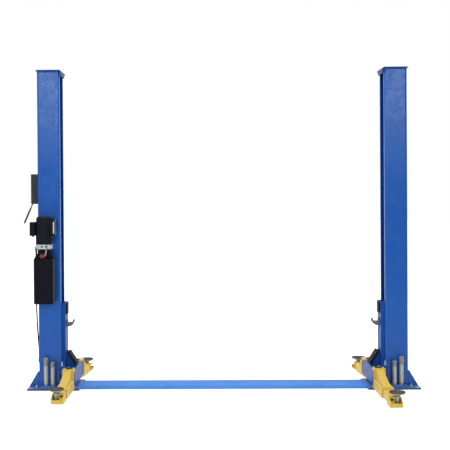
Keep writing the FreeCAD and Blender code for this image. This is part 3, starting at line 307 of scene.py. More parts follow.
def moulded(name, colour, pale, rough, grain=MOULD_GRAIN, scuffs_and_lit_edges=0.25, specular=0.2):
    """A dull moulded surface: its colour, the paler tone of its scuffs and of the painted highlight on its
    edges, and a grain in metres.
    """
    material, tree, shader, place = finish_named(name)
    eased, near_edge = eased_edges(tree, MOULD_EASE)
    scuffs = patches(tree, place, SCUFF_SIZE, 6.0, (0.5, 0.8), (0.0, scuffs_and_lit_edges), 0.7)
    # Edges take the pale tone as a painted highlight, so that dark pieces don't read as holes.
    edges = add(tree, "ShaderNodeMath", TIMES, i0=near_edge, i1=scuffs_and_lit_edges * 1.6)
    rubbed_and_lit_edges = add(tree, "ShaderNodeMath", {"operation": "MAXIMUM"}, i0=scuffs, i1=edges)
    tone = add(tree, "ShaderNodeMix", COLOUR_MIX, i0=rubbed_and_lit_edges, i6=linear(colour), i7=linear(pale))
    relief = add(tree, "ShaderNodeTexNoise", Vector=place, Scale=1 / grain, Detail=2.0, Roughness=0.55)
    plug(tree, shader, Base_Color=tone, Specular_IOR_Level=specular,
         Roughness=patches(tree, place, POLISH_SIZE, 3.0, (0.3, 0.7), (rough - 0.06, rough + 0.08)),
         Normal=add(tree, "ShaderNodeBump", Height=relief, Distance=MOULD_DEPTH, Strength=0.6, Normal=eased))
    return material


# Rubber drinks the light: almost black, with soft grey scuffs.
rubber = moulded("black rubber", "#121114", "#343136", 0.7)
# The pads' rubber is worn by many sills to a warm grey.
pad_rubber = moulded("pad rubber", "#5a5253", "#7d7475", 0.75, scuffs_and_lit_edges=0.4)
# A hose's cover is smoother, so a faint line of light runs down it.
hose_rubber = moulded("hose rubber", "#0c0d12", "#222328", 0.55)
# The slide blocks are a slippery plastic, dark and satin.
slide_plastic = moulded("slide block plastic", "#1f2024", "#3a3a3e", 0.5)
# Black polyethylene looks waxy: a low, wide sheen, and its edges carry a painted highlight with a little blue
# in it.
tank_plastic = moulded("tank polyethylene", "#0b0d18", "#2b2e3e", 0.5, specular=0.12)
# The switch box is a harder plastic, as black as the tank but without the wax.
box_plastic = moulded("switch box plastic", "#0f1019", "#2a2c36", 0.55, specular=0.12)
# The cap is the one warm spot on the power unit, a red with scuffs and a painted highlight on the edges of its
# ribs.
cap_red = moulded("red cap plastic", "#963448", "#c46578", 0.4)
# Thick black enamel on the motor's shell looks moulded too: soft edges, a low sheen and a 4 mm grain.
motor_black = moulded("black motor enamel", "#11131f", "#2e3140", 0.48, grain=0.004, specular=0.14)
# The lock's cover is greyer and duller than the motor beside it.
lock_black = moulded("grey black cover enamel", "#343644", "#4c4e5c", 0.55)
# The lever's sleeve is a brownish red that hands have polished.
handle_red = moulded("dark red handle enamel", "#5a2a31", "#7b4c53", 0.45)
# The bare label is the one white thing on the lift.
label_white = moulded("bare aluminium label", "#dfe2ea", "#c9ccd4", 0.5, scuffs_and_lit_edges=0.1)
print("materials", len(bpy.data.materials))

# %% [markdown]
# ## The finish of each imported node
#
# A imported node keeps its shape, so only its material changes. Each could be dressed by hand, one after the
# other. A table goes from the record's slots to the finishes instead, so that a slot's look is changed in one
# place. A few nodes get a finish of their own where the photograph shows a different tone.

# %% Finishes onto nodes
FINISH_OF_SLOT = {
    "column_enamel": post_blue, "base_enamel": plate_blue, "cap_enamel": cap_blue, "cover_enamel": cover_blue,
    "carriage_enamel": carriage_blue, "arm_enamel": arm_yellow, "rubber": rubber, "zinc_steel": zinc,
    "dark_steel": dark_steel, "bright_rod": chrome, "slide_plastic": slide_plastic,
    "motor_enamel": motor_black, "tank_plastic": tank_plastic, "cap_plastic": cap_red,
    "pump_aluminium": aluminium, "box_plastic": box_plastic, "lock_enamel": lock_black,
    "handle_steel": handle_red, "hose_rubber": hose_rubber,
}
FINISH_OF_NODE = {
    "base_gussets": post_blue, "power_unit_bracket": post_blue, "adapter_racks": post_blue,
    "hose_fittings": dark_steel, "left_hanger_hook": hook_steel, "right_hanger_hook": hook_steel,
}
for entry in record["subparts"]:
    name = entry["node"]
    thing = nodes[name]
    thing.data.materials.clear()
    thing.data.materials.append(FINISH_OF_NODE.get(name, FINISH_OF_SLOT[entry["material_slot"]]))
print("dressed nodes", len(record["subparts"]))

# %% [markdown]
# ## The studio
#
# A plain pale floor under a white surround, as in a catalogue. Four walls and a ceiling would serve as well,
# but a surround is simpler: it is bright to the camera and dim as a light, so the dark paint keeps its depth.
# A long, slightly cool light over the camera gives the fronts their tone. One above lights the tops of the
# arms and plates, one behind lights the floor and the far edges, and a weak one at the left fills the outer
# side of the left post. The camera sees none of the four.

# %% Surround and lights
scene.view_settings.view_transform = "Standard"
scene.view_settings.look = "None"
SURROUND_LIGHT = 0.30                    # how bright the surround is as a light

world = bpy.data.worlds.new("surround")
scene.world = world
world.use_nodes = True
sky = world.node_tree
to_camera = add(sky, "ShaderNodeLightPath").outputs["Is Camera Ray"]
plug(sky, sky.nodes["Background"], Color=(1, 1, 1, 1),
     Strength=add(sky, "ShaderNodeMapRange", Value=to_camera, To_Min=SURROUND_LIGHT))


def soft_light(name, place, target, size, power, tint="#ffffff"):
    """A rectangular area light that looks at a point: place, point and size in metres, power in watts."""
    data = bpy.data.lights.new(name, "AREA")
    data.shape = "RECTANGLE"
    data.size, data.size_y = size
    data.energy = power
    data.color = linear(tint)[:3]
    thing = bpy.data.objects.new(name, data)
    scene.collection.objects.link(thing)
    thing.location = place
    thing.rotation_euler = (Vector(target) - Vector(place)).to_track_quat("-Z", "Y").to_euler()
    thing.visible_camera = False
    return thing


lights = [
    soft_light("over the camera", (0.0, -9.6, 3.9), (0, 0, 1.4), (8.5, 1.8), 265, "#ecf9ff"),
    soft_light("at the left", (-6.0, -4.0, 3.0), (0, 0, 1.0), (3.0, 3.0), 50),
    soft_light("above", (0.0, 0.3, 6.0), (0, 0.3, 0), (7.0, 2.0), 345),
    soft_light("behind", (0.0, 7.0, 2.0), (0, 0, 1.6), (12.0, 4.0), 140),
]
print("lights", [light.name for light in lights])

# %% [markdown]
# The floor is one large square. It glows to the camera until it is as white as the surround, so no horizon
# shows, and the glow is held back round the lift, where the floor still takes a soft shadow. To the lift the
# floor is much dimmer, because a floor that shines as it looks would light the posts from below.

# %% Floor
FLOOR_HALF = 60.0
FLOOR_DROP = 0.0005                      # just under the plates, so that the two don't flicker
FLOOR_NEAR, FLOOR_CLEAR = 1.0, 3.5       # distances from the middle where the white begins and is full
FLOOR_SHADE = 0.72
FLOOR_BOUNCE = 0.14                      # how bright the floor is as a light
corners = [(-FLOOR_HALF, -FLOOR_HALF, 0), (FLOOR_HALF, -FLOOR_HALF, 0), (FLOOR_HALF, FLOOR_HALF, 0),
           (-FLOOR_HALF, FLOOR_HALF, 0)]
floor_mesh = bpy.data.meshes.new("floor")
floor_mesh.from_pydata(corners, [], [(0, 1, 2, 3)])
floor = bpy.data.objects.new("floor", floor_mesh)
scene.collection.objects.link(floor)
floor.location.z = -FLOOR_DROP

floor_finish, tree, shader, place = finish_named("pale floor")
reach = add(tree, "ShaderNodeVectorMath", {"operation": "LENGTH"}, i0=place)
white = add(tree, "ShaderNodeMapRange", Value=reach, From_Min=FLOOR_NEAR, From_Max=FLOOR_CLEAR,
            To_Min=FLOOR_SHADE)
to_camera = add(tree, "ShaderNodeLightPath").outputs["Is Camera Ray"]
bounce = add(tree, "ShaderNodeMapRange", Value=to_camera, To_Min=FLOOR_BOUNCE)
plug(tree, shader, Base_Color=linear("#f0f0f0"), Roughness=0.9, Specular_IOR_Level=0.0,
     Emission_Color=(1, 1, 1, 1), Emission_Strength=add(tree, "ShaderNodeMath", TIMES, i0=white, i1=bounce))
floor_mesh.materials.append(floor_finish)
print("floor white from", FLOOR_CLEAR, "m")

# %% [markdown]
# ## Tools for shapes
#
# The small pieces are blocks, turned shapes and slabs. They could be primitives with modifiers, but bmesh
# draws them at their real places in one go: blocks with eased edges, turned shapes from a half outline, as a
# lathe makes them, and slabs from an outline, as a saw makes them. One function makes the result a mesh whose
# faces point outwards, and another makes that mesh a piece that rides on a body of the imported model.

# %% Shape helpers


def add_block(shape, low, high, ease=0.0):
    """A block between two corners, with its edges eased by a bevel."""
    made = bmesh.ops.create_cube(shape, size=1.0)["verts"]
    middle = (Vector(low) + Vector(high)) / 2
    size = Vector(high) - Vector(low)
    for corner in made:
        corner.co = Vector([c * s for c, s in zip(corner.co, size)]) + middle
    if ease:
        edges = list({edge for corner in made for edge in corner.link_edges})
        bmesh.ops.bevel(shape, geom=edges, offset=ease, segments=2, profile=0.5, affect="EDGES")


def add_turned(shape, outline, centre, along=(0, 0, 1), sides=40):
    """A turned shape from (radius, height) pairs, along a direction from its centre."""
    turn = Vector((0, 0, 1)).rotation_difference(Vector(along)).to_matrix()
    rings = []
    for radius, height in outline:
        count = 1 if radius == 0 else sides
        ring = []
        for step in range(count):
            angle = 2 * math.pi * step / count
            spot = Vector((radius * math.cos(angle), radius * math.sin(angle), height))
            ring.append(shape.verts.new(Vector(centre) + turn @ spot))
        rings.append(ring)
    for lower, upper in zip(rings, rings[1:]):
        for step in range(sides):
            after = (step + 1) % sides
            corners = [lower[step % len(lower)], lower[after % len(lower)], upper[after % len(upper)],
                       upper[step % len(upper)]]
            corners = list(dict.fromkeys(corners))
            if len(corners) > 2:
                shape.faces.new(corners)


def add_slab(shape, outline, front, back):
    """A slab from the (x, z) pairs of its outline, between two places on Y."""
    rings = [[shape.verts.new((x, y, z)) for x, z in outline] for y in (front, back)]
    faces = [shape.faces.new(ring) for ring in rings]
    for step in range(len(outline)):
        after = (step + 1) % len(outline)
        faces.append(shape.faces.new([rings[0][step], rings[0][after], rings[1][after], rings[1][step]]))
    return faces


def mesh_of(shape, name, finish=None):
    """A bmesh as a mesh whose faces point outwards."""
    bmesh.ops.recalc_face_normals(shape, faces=shape.faces)
    mesh = bpy.data.meshes.new(name)
    shape.to_mesh(mesh)
    shape.free()
    if finish:
        mesh.materials.append(finish)
    return mesh


def piece(name, mesh, body, smooth=40):
    """A mesh as a piece that rides on a body, shaded smooth with sharp edges past an angle in degrees."""
    mesh.shade_smooth()
    mesh.set_sharp_from_angle(angle=math.radians(smooth))
    thing = bpy.data.objects.new(name, mesh)
    scene.collection.objects.link(thing)
    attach(thing, body)
    return thing


# %% [markdown]
# ## Tools that repeat a shape
#
# Bolts, screws, ribs and links repeat. An Array modifier copies along one line only, so Geometry Nodes set
# them out. The first tree puts a copy of a small shape on each point and turns it by the point's own angle.
# The second lays the ripples of a weld bead along a line. The third winds a wire round an axis, for screw
# threads and springs. Each ends in Realize Instances, because an exported model has no instances.

# %% Geometry Nodes trees


def start_tree(name, inputs):
    """A Geometry Nodes tree with named inputs after its geometry."""
    tree = bpy.data.node_groups.new(name, "GeometryNodeTree")
    tree.interface.new_socket("Geometry", in_out="INPUT", socket_type="NodeSocketGeometry")
    for label, kind in inputs.items():
        tree.interface.new_socket(label, in_out="INPUT", socket_type="NodeSocket" + kind)
    tree.interface.new_socket("Geometry", in_out="OUTPUT", socket_type="NodeSocketGeometry")
    return tree, tree.nodes.new("NodeGroupInput").outputs


def end_tree(tree, geometry, finish):
    """Realize what a tree made, give it its finish and send it out."""
    real = add(tree, "GeometryNodeRealizeInstances", Geometry=geometry)
    dressed = add(tree, "GeometryNodeSetMaterial", Geometry=real, Material=finish)
    add(tree, "NodeGroupOutput", i0=dressed)
    return tree


def copies_tree():
    """Copies of a small shape on points, each turned by the point's own angle."""
    tree, given = start_tree("copies", {"Shape": "Object", "Finish": "Material"})
    shape = add(tree, "GeometryNodeObjectInfo", Object=given["Shape"]).outputs["Geometry"]
    angles = add(tree, "GeometryNodeInputNamedAttribute", {"data_type": "FLOAT_VECTOR"}, Name="turn")
    turn = add(tree, "FunctionNodeEulerToRotation", Euler=angles.outputs["Attribute"])
    put = add(tree, "GeometryNodeInstanceOnPoints", Points=given["Geometry"], Instance=shape, Rotation=turn)
    return end_tree(tree, put, given["Finish"])


def bead_tree():
    """The ripples of a weld bead, laid along lines."""
    tree, given = start_tree("weld bead", {"Ripple": "Object", "Spacing": "Float", "Finish": "Material"})
    line = add(tree, "GeometryNodeMeshToCurve", Mesh=given["Geometry"])
    spots = add(tree, "GeometryNodeResampleCurve", {"mode": "LENGTH"}, Curve=line, Length=given["Spacing"])
    ripple = add(tree, "GeometryNodeObjectInfo", Object=given["Ripple"]).outputs["Geometry"]
    along = add(tree, "GeometryNodeInputTangent")
    turn = add(tree, "FunctionNodeAlignRotationToVector", {"axis": "X"}, Vector=along)
    put = add(tree, "GeometryNodeInstanceOnPoints", Points=spots, Instance=ripple, Rotation=turn)
    return end_tree(tree, put, given["Finish"])


def coil_tree():
    """A wire wound round the Z axis, for threads and springs."""
    tree, given = start_tree("coil", {"Turns": "Float", "Radius": "Float", "Height": "Float", "Wire": "Float",
                                      "Sides": "Int", "Finish": "Material"})
    line = add(tree, "GeometryNodeCurveSpiral", Resolution=28, Rotations=given["Turns"],
               Start_Radius=given["Radius"], End_Radius=given["Radius"], Height=given["Height"])
    ring = add(tree, "GeometryNodeCurvePrimitiveCircle", Resolution=given["Sides"], Radius=given["Wire"])
    wire = add(tree, "GeometryNodeCurveToMesh", Curve=line, Profile_Curve=ring, Fill_Caps=True)
    return end_tree(tree, wire, given["Finish"])


COPIES, BEAD, COIL = copies_tree(), bead_tree(), coil_tree()
print("trees", [tree.name for tree in (COPIES, BEAD, COIL)])

# %% [markdown]
# The trees need an object to work on. Each of these functions makes one from a plain mesh, sets the tree's
# inputs by their identifiers, takes the result as a mesh and throws the object away, so that no piece carries
# a live modifier.

# %% Shapes grown by a tree
BEAD_WIDTH, BEAD_SPACING = 0.007, 0.0045


def grown(name, base, tree, **inputs):
    """What a tree makes from a base mesh, as a plain mesh."""
    thing = bpy.data.objects.new(name, base)
    scene.collection.objects.link(thing)
    modifier = thing.modifiers.new("grow", "NODES")
    modifier.node_group = tree
    for item in tree.interface.items_tree:
        if item.in_out == "INPUT" and item.name in inputs:
            modifier[item.identifier] = inputs[item.name]
    made = bpy.data.meshes.new_from_object(thing.evaluated_get(bpy.context.evaluated_depsgraph_get()))
    made.name = name
    made.materials.clear()
    made.materials.append(inputs["Finish"])
    made.polygons.foreach_set("material_index", [0] * len(made.polygons))
    bpy.data.objects.remove(thing)
    return made


def repeated(name, mesh, finish, places):
    """Copies of a mesh at places, each a point and a turn in radians about X, Y and Z."""
    model = bpy.data.objects.new("model", mesh)
    scene.collection.objects.link(model)
    points = bpy.data.meshes.new("points")
    points.from_pydata([place for place, turn in places], [], [])
    turns = points.attributes.new("turn", "FLOAT_VECTOR", "POINT")
    turns.data.foreach_set("vector", [angle for place, turn in places for angle in turn])
    made = grown(name, points, COPIES, Shape=model, Finish=finish)
    bpy.data.objects.remove(model)
    return made


def welded(name, lines, finish, width=BEAD_WIDTH, spacing=BEAD_SPACING):
    """A weld bead along lines of points, where each ripple laps over the last."""
    shape = bmesh.new()
    bmesh.ops.create_uvsphere(shape, u_segments=8, v_segments=5, radius=width / 2)
    bmesh.ops.scale(shape, vec=(0.75, 1.0, 0.9), verts=shape.verts)
    model = bpy.data.objects.new("ripple", mesh_of(shape, "ripple"))
    scene.collection.objects.link(model)
    spots, edges = [], []
    for line in lines:
        edges += [(len(spots) + step, len(spots) + step + 1) for step in range(len(line) - 1)]
        spots += line
    base = bpy.data.meshes.new("weld line")
    base.from_pydata(spots, edges, [])
    made = grown(name, base, BEAD, Ripple=model, Spacing=spacing, Finish=finish)
    bpy.data.objects.remove(model)
    return made


def wound(name, finish, turns, radius, height, wire, foot, sides=4):
    """A wire wound up from a foot point, as a mesh in its place."""
    made = grown(name, bpy.data.meshes.new("nothing"), COIL, Turns=turns, Radius=radius, Height=height,
                 Wire=wire, Sides=sides, Finish=finish)
    made.transform(Matrix.Translation(foot))
    return made


def together(name, meshes):
    """Several meshes as one, with their materials kept."""
    shape = bmesh.new()
    finishes = []
    for mesh in meshes:
        before = len(shape.faces)
        shape.from_mesh(mesh)
        shape.faces.ensure_lookup_table()
        for finish in mesh.materials:
            if finish not in finishes:
                finishes.append(finish)
        index = finishes.index(mesh.materials[0])
        for face in shape.faces[before:]:
            face.material_index = index
    made = bpy.data.meshes.new(name)
    shape.to_mesh(made)
    shape.free()
    for finish in finishes:
        made.materials.append(finish)
    return made


# %% [markdown]
# ## Places on the lift
#
# The added pieces have to sit exactly on the steel. Their places could be typed in, but then they would stay
# behind when the model changes. Many are worked out from the imported model instead: the joints give each arm's
# pin and direction, the mounts give the pads and the anchor holes, and node boxes give others. The rest are
# given as numbers.

# %% Places
SIDES = {"left": -1, "right": 1}
ENDS = {"front": -1, "rear": 1}
MILLIMETRES = 1000
joint_of = {joint["name"]: joint for joint in record["behaviour"]["joints"]}
mount_of = {mount["name"]: mount for mount in record["mounts"]}
arms = {}
for side_name, side in SIDES.items():
    for end_name, end in ENDS.items():
        name = f"{side_name}_{end_name}"
        pin = Vector(joint_of[f"{name}_swing"]["pos_m"])
        along = Vector(joint_of[f"{name}_slide"]["axis"])
        arms[name] = {"pin": Vector((pin.x, pin.y, 0)), "along": along,
                      "across": Vector((0, 0, 1)).cross(along),
                      "pad": Vector(mount_of[f"{name}_pad_face"]["pos_m"])}


def on_arm(name, run, over, height):
    """A point on an arm: along it from its pin, across it, and up from the floor."""
    arm = arms[name]
    return arm["pin"] + arm["along"] * run + arm["across"] * over + Vector((0, 0, height))


for name, arm in arms.items():
    arm["reach"] = (arm["pad"] - arm["pin"]).dot(arm["along"])
    print(name, "arm reaches", round(arm["reach"], 3))

# %% [markdown]
# ## Anchor bolts
#
# Wedge anchors hold the two base plates to the floor. A hex nut on a washer shows of each, with the end of
# its stud. A separate bolt in every hole would be the same work many times over, so one is turned, and the
# copies tree puts it over every hole, each at a turn of its own, as a spanner leaves them.

# %% Anchor bolts
NUT_ACROSS = 0.027           # across the flats of an 18 mm nut
NUT_HEIGHT = 0.015
WASHER_RADIUS, WASHER_THICK = 0.018, 0.003
STUD_RADIUS, STUD_SHOWS = 0.009, 0.011
ORIGIN = (0, 0, 0)


def hex_outline(across, low, high):
    """The outline of a hex nut with chamfered corners, for six sides."""
    corner = across / math.sqrt(3)
    return [(0, low), (corner * 0.92, low), (corner, low + 0.0015), (corner, high - 0.0015),
            (corner * 0.9, high)]


def anchor_mesh():
    """A washer, a hex nut and the end of the stud, standing on Z = 0."""
    shape = bmesh.new()
    nut_top = WASHER_THICK + NUT_HEIGHT
    stud_top = nut_top + STUD_SHOWS
    add_turned(shape, [(0, 0), (WASHER_RADIUS, 0), (WASHER_RADIUS, WASHER_THICK - 0.0005),
                       (WASHER_RADIUS - 0.001, WASHER_THICK), (0, WASHER_THICK)], ORIGIN, sides=28)
    add_turned(shape, hex_outline(NUT_ACROSS, WASHER_THICK, nut_top) + [(0, nut_top)], ORIGIN, sides=6)
    add_turned(shape, [(0, nut_top - 0.002), (STUD_RADIUS, nut_top - 0.002), (STUD_RADIUS, stud_top - 0.003),
                       (STUD_RADIUS - 0.002, stud_top), (0, stud_top)], ORIGIN, sides=20)
    return mesh_of(shape, "anchor")


plate_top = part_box("left_base_plate")[1][2]
places = []
for mount in ("anchor_bolts_outer", "anchor_bolts_inner"):
    spacing = mount_of[mount]["dims"]
    for x in (-1, 1):
        for y in (-1, 1):
            spot = Vector((x * spacing["spacing_x_mm"], y * spacing["spacing_y_mm"], 0)) / MILLIMETRES / 2
            places.append((spot + Vector((0, 0, plate_top)), (0, 0, 0.4 * x + y)))
side_half = mount_of["anchor_bolts_side"]["dims"]["spacing_x_mm"] / MILLIMETRES / 2
places += [(Vector((x * side_half, 0, plate_top)), (0, 0, 0.3)) for x in (-1, 1)]
piece("anchor_bolts", repeated("anchor_bolts", anchor_mesh(), zinc, places), "root")
print("anchor bolts", len(places))

# %% [markdown]
# ## Weld beads
#
# The columns, gussets, arms and carriages are welded from plate, and the beads show as rippled fillets that
# the paint covers. A bump on the paint would not catch the light from the side, so the beads are real shapes.
# Each is a line along a corner, and the bead tree lays one ripple after another.

# %% Weld beads on the posts
BEAD_LIFT = 0.001            # the middle of a bead stands this far off the corner
CAP_PLATE = 0.008
GUSSET_HALF = 0.004          # half the thickness of a gusset
foot = plate_top + BEAD_LIFT
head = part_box("top_caps")[1][2] - CAP_PLATE - BEAD_LIFT
gusset_low, gusset_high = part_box("base_gussets")
gusset_reach = max(abs(gusset_low[0]), abs(gusset_high[0]))
gusset_y = gusset_high[1] - GUSSET_HALF
lines = []
for side_name, side in SIDES.items():
    (x0, y0, z0), (x1, y1, z1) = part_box(f"{side_name}_column")
    outer, inner = (x0, x1) if side < 0 else (x1, x0)
    beyond = outer + side * BEAD_LIFT
    front, back = y0 - BEAD_LIFT, y1 + BEAD_LIFT
    lines.append([(inner, front, foot), (outer, front, foot), (beyond, y0, foot), (beyond, y1, foot),
                  (outer, back, foot), (inner, back, foot)])
    lines.append([(inner, front, head), (outer, front, head), (beyond, y0, head)])
    lines.append([(inner, back, head), (outer, back, head), (beyond, y1, head)])
    for y in (-gusset_y, gusset_y):
        for over in (y - GUSSET_HALF - BEAD_LIFT, y + GUSSET_HALF + BEAD_LIFT):
            lines.append([(outer, over, gusset_high[2]), (beyond, over, foot),
                          (gusset_reach * side, over, foot)])
piece("post_welds", welded("post_welds", lines, post_blue), "root")
print("lines of weld on the posts", len(lines))

# %% [markdown]
# The arms' beads run where the tapered stiffener meets the box, up the root plate and round the tip. The tip
# slides out of the arm, so it has a piece of its own, which rides on the extension.

# %% Weld beads on the arms
MOUTH = {"front": 0.500, "rear": 0.318}  # end of the arm's box, along from its pin
BOX_TOP = 0.107                          # heights are from the floor
ARM_TOP = 0.1965
ARM_HALF = 0.052                         # half widths
WEDGE_HALF = 0.031
ROOT_FACE = 0.076                        # near face of the root plate, along from the pin
WEDGE_START = ROOT_FACE + 0.015          # the tapered stiffener starts behind that plate
WEDGE_SHORT = 0.040                      # and stops this far before the mouth
TUBE_HALF, TUBE_LOW, TUBE_TOP = 0.042, 0.0385, 0.0985
TIP_BACK = 0.064                         # back of the tip, before the middle of the pad
for name, arm in arms.items():
    wedge_end = MOUTH[name.split("_")[1]] - WEDGE_SHORT
    seam = BOX_TOP + BEAD_LIFT
    lines = []
    for over in (-WEDGE_HALF - BEAD_LIFT, WEDGE_HALF + BEAD_LIFT):
        lines.append([on_arm(name, WEDGE_START, over, seam), on_arm(name, wedge_end, over, seam)])
        lines.append([on_arm(name, WEDGE_START, over, height) for height in (BOX_TOP, ARM_TOP - 0.005)])
    lines.append([on_arm(name, wedge_end + BEAD_LIFT, over, BOX_TOP) for over in (-WEDGE_HALF, WEDGE_HALF)])
    root = ROOT_FACE - BEAD_LIFT
    lines.append([on_arm(name, root, over, ARM_TOP - 0.015) for over in (-ARM_HALF, ARM_HALF)])
    piece(f"{name}_arm_welds", welded(f"{name}_arm_welds", lines, arm_yellow, 0.006, 0.004), f"{name}_arm")
    back = arm["reach"] - TIP_BACK - BEAD_LIFT
    beside, low, high = TUBE_HALF + BEAD_LIFT, TUBE_LOW, TUBE_TOP - BEAD_LIFT
    lines = [[on_arm(name, back, beside, low), on_arm(name, back, beside, high)],
             [on_arm(name, back, -beside, high), on_arm(name, back, -beside, low)]]
    piece(f"{name}_tip_welds", welded(f"{name}_tip_welds", lines, arm_yellow, 0.005, 0.0035),
          f"{name}_extension")
print("welded arms", len(arms))

# %% [markdown]
# ## The pads
#
# A pad is a screw post, a pressed dish and a thick rubber disc. The disc could be a plain cylinder with a
# bump, but it is close to the camera, so it is turned with a rolled edge and real concentric grooves, and
# radial bars that grip a sill are repeated round it. It replaces the plain packed disc. The post gets its
# thread from the coil tree.

# %% Pads
PAD_RADIUS = 0.065
RUBBER_HEIGHT = 0.015
SEAT_GAP = 0.0003            # the rubber is clear of its dish by this much
SPIGOT = 0.0385              # radius of the dish's raised middle, which the rubber fits over
SPIGOT_RISE = 0.005
GROOVES = (0.058, 0.044, 0.030, 0.016)
GROOVE_HALF, GROOVE_DEPTH = 0.0015, 0.0022
BAR_COUNT = 24
BAR_START, BAR_END, BAR_HALF = 0.017, 0.0615, 0.0022
BAR_HEIGHT = 0.0022          # the bars stand this high over the disc's face
BAR_SUNK = 0.0002            # and reach this far into it


def pad_rubber_mesh(pad):
    """The rubber disc: rolled edge and concentric grooves, with raised bars set out round it."""
    top, low = pad.z, pad.z - RUBBER_HEIGHT + SEAT_GAP
    face = top - BAR_HEIGHT
    outline = [(0, low + SPIGOT_RISE), (SPIGOT, low + SPIGOT_RISE), (SPIGOT, low), (PAD_RADIUS - 0.003, low),
               (PAD_RADIUS - 0.0008, low + 0.001), (PAD_RADIUS, low + 0.003), (PAD_RADIUS, top - 0.006),
               (PAD_RADIUS - 0.001, top - 0.0035), (PAD_RADIUS - 0.003, top - 0.0025)]
    for radius in GROOVES:
        outline += [(radius + GROOVE_HALF, face), (radius, face - GROOVE_DEPTH), (radius - GROOVE_HALF, face)]
    outline.append((0, face))
    shape = bmesh.new()
    add_turned(shape, outline, (pad.x, pad.y, 0), sides=64)
    disc = mesh_of(shape, "disc", pad_rubber)
    bar = bmesh.new()
    add_block(bar, (BAR_START, -BAR_HALF, -BAR_HEIGHT - BAR_SUNK), (BAR_END, BAR_HALF, 0.0), 0.0008)
    places = [(pad, (0, 0, 2 * math.pi * step / BAR_COUNT)) for step in range(BAR_COUNT)]
    return together("rubber", [disc, repeated("bars", mesh_of(bar, "bar"), pad_rubber, places)])


# %% Pad discs and threads
SCREW_RADIUS = 0.020
SCREW_FOOT = 0.1055          # the thread shows from here up to the dish
DISH_HEIGHT = 0.019
THREAD_PITCH = 0.006         # drawn coarser than the real 4 mm thread so that it shows
THREAD_WIRE = 0.0017
for name, arm in arms.items():
    pad = arm["pad"]
    disc = piece(f"{name}_pad_disc", pad_rubber_mesh(pad), f"{name}_pad")
    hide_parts(f"{name}_pad_rubber")
    length = pad.z - RUBBER_HEIGHT - DISH_HEIGHT - SCREW_FOOT
    thread = wound(f"{name}_pad_thread", zinc, length / THREAD_PITCH, SCREW_RADIUS, length, THREAD_WIRE,
                   Vector((pad.x, pad.y, SCREW_FOOT)))
    piece(f"{name}_pad_thread", thread, f"{name}_pad")
print("pads", len(arms), "with", BAR_COUNT, "bars each")

# %% [markdown]
# ## Arm pins and arm locks
#
# Each pin's head carries a grease nipple and a retaining bolt, small turned shapes that catch the light. Each
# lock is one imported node, a painted block under a bright bell knob. It is not cut in two: its faces take one
# finish or the other by their height. The coil tree winds the spring that pushes each lock down.

# %% Arm pins and arm locks
NIPPLE = ((0, -0.001), (0.0045, -0.001), (0.0045, 0.003), (0.0028, 0.004), (0.0028, 0.007), (0.0035, 0.008),
          (0.002, 0.011), (0, 0.0115))    # radius, and height over the pin's head
PIN_BOLT_ACROSS, PIN_BOLT_HEIGHT, PIN_BOLT_OUT = 0.013, 0.005, 0.016
LOCK_KNOB_FOOT = 0.2165                  # the bright knob starts above the painted block
LOCK_X, LOCK_Y = 1.420, 0.200
SPRING_FOOT, SPRING_LENGTH, SPRING_TURNS = 0.1075, 0.030, 7    # the foot is a height from the floor
SPRING_RADIUS, SPRING_WIRE = 0.0098, 0.0013
for side_name, side in SIDES.items():
    shape = bmesh.new()
    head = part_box(f"{side_name}_arm_pins")[1][2]
    bolt = hex_outline(PIN_BOLT_ACROSS, head - 0.001, head + PIN_BOLT_HEIGHT) + [(0, head + PIN_BOLT_HEIGHT)]
    springs = []
    for end_name, end in ENDS.items():
        pin = arms[f"{side_name}_{end_name}"]["pin"]
        add_turned(shape, [(radius, head + up) for radius, up in NIPPLE], pin, sides=16)
        add_turned(shape, bolt, (pin.x + side * PIN_BOLT_OUT, pin.y, 0), sides=6)
        springs.append(wound("spring", dark_steel, SPRING_TURNS, SPRING_RADIUS, SPRING_LENGTH, SPRING_WIRE,
                             (side * LOCK_X, end * LOCK_Y, SPRING_FOOT), 6))
    piece(f"{side_name}_pin_fittings", mesh_of(shape, "pin fittings", zinc), f"{side_name}_carriage")
    piece(f"{side_name}_lock_springs", together("springs", springs), f"{side_name}_carriage")
    locks = nodes[f"{side_name}_arm_locks"].data
    locks.materials.clear()
    for finish in (post_blue, zinc):
        locks.materials.append(finish)
    for face in locks.polygons:
        face.material_index = 1 if face.center.z > LOCK_KNOB_FOOT else 0
    print(side_name, "bright lock faces", sum(face.material_index for face in locks.polygons))

# %% [markdown]
# ## Height adapters
#
# The adapters that stand in the racks are turned from thick tube. Each has a paler stem and an oiled collar,
# with a groove where they meet and a dished top. One outline could hold both parts, but each part has its own
# finish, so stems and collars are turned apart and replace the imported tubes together.

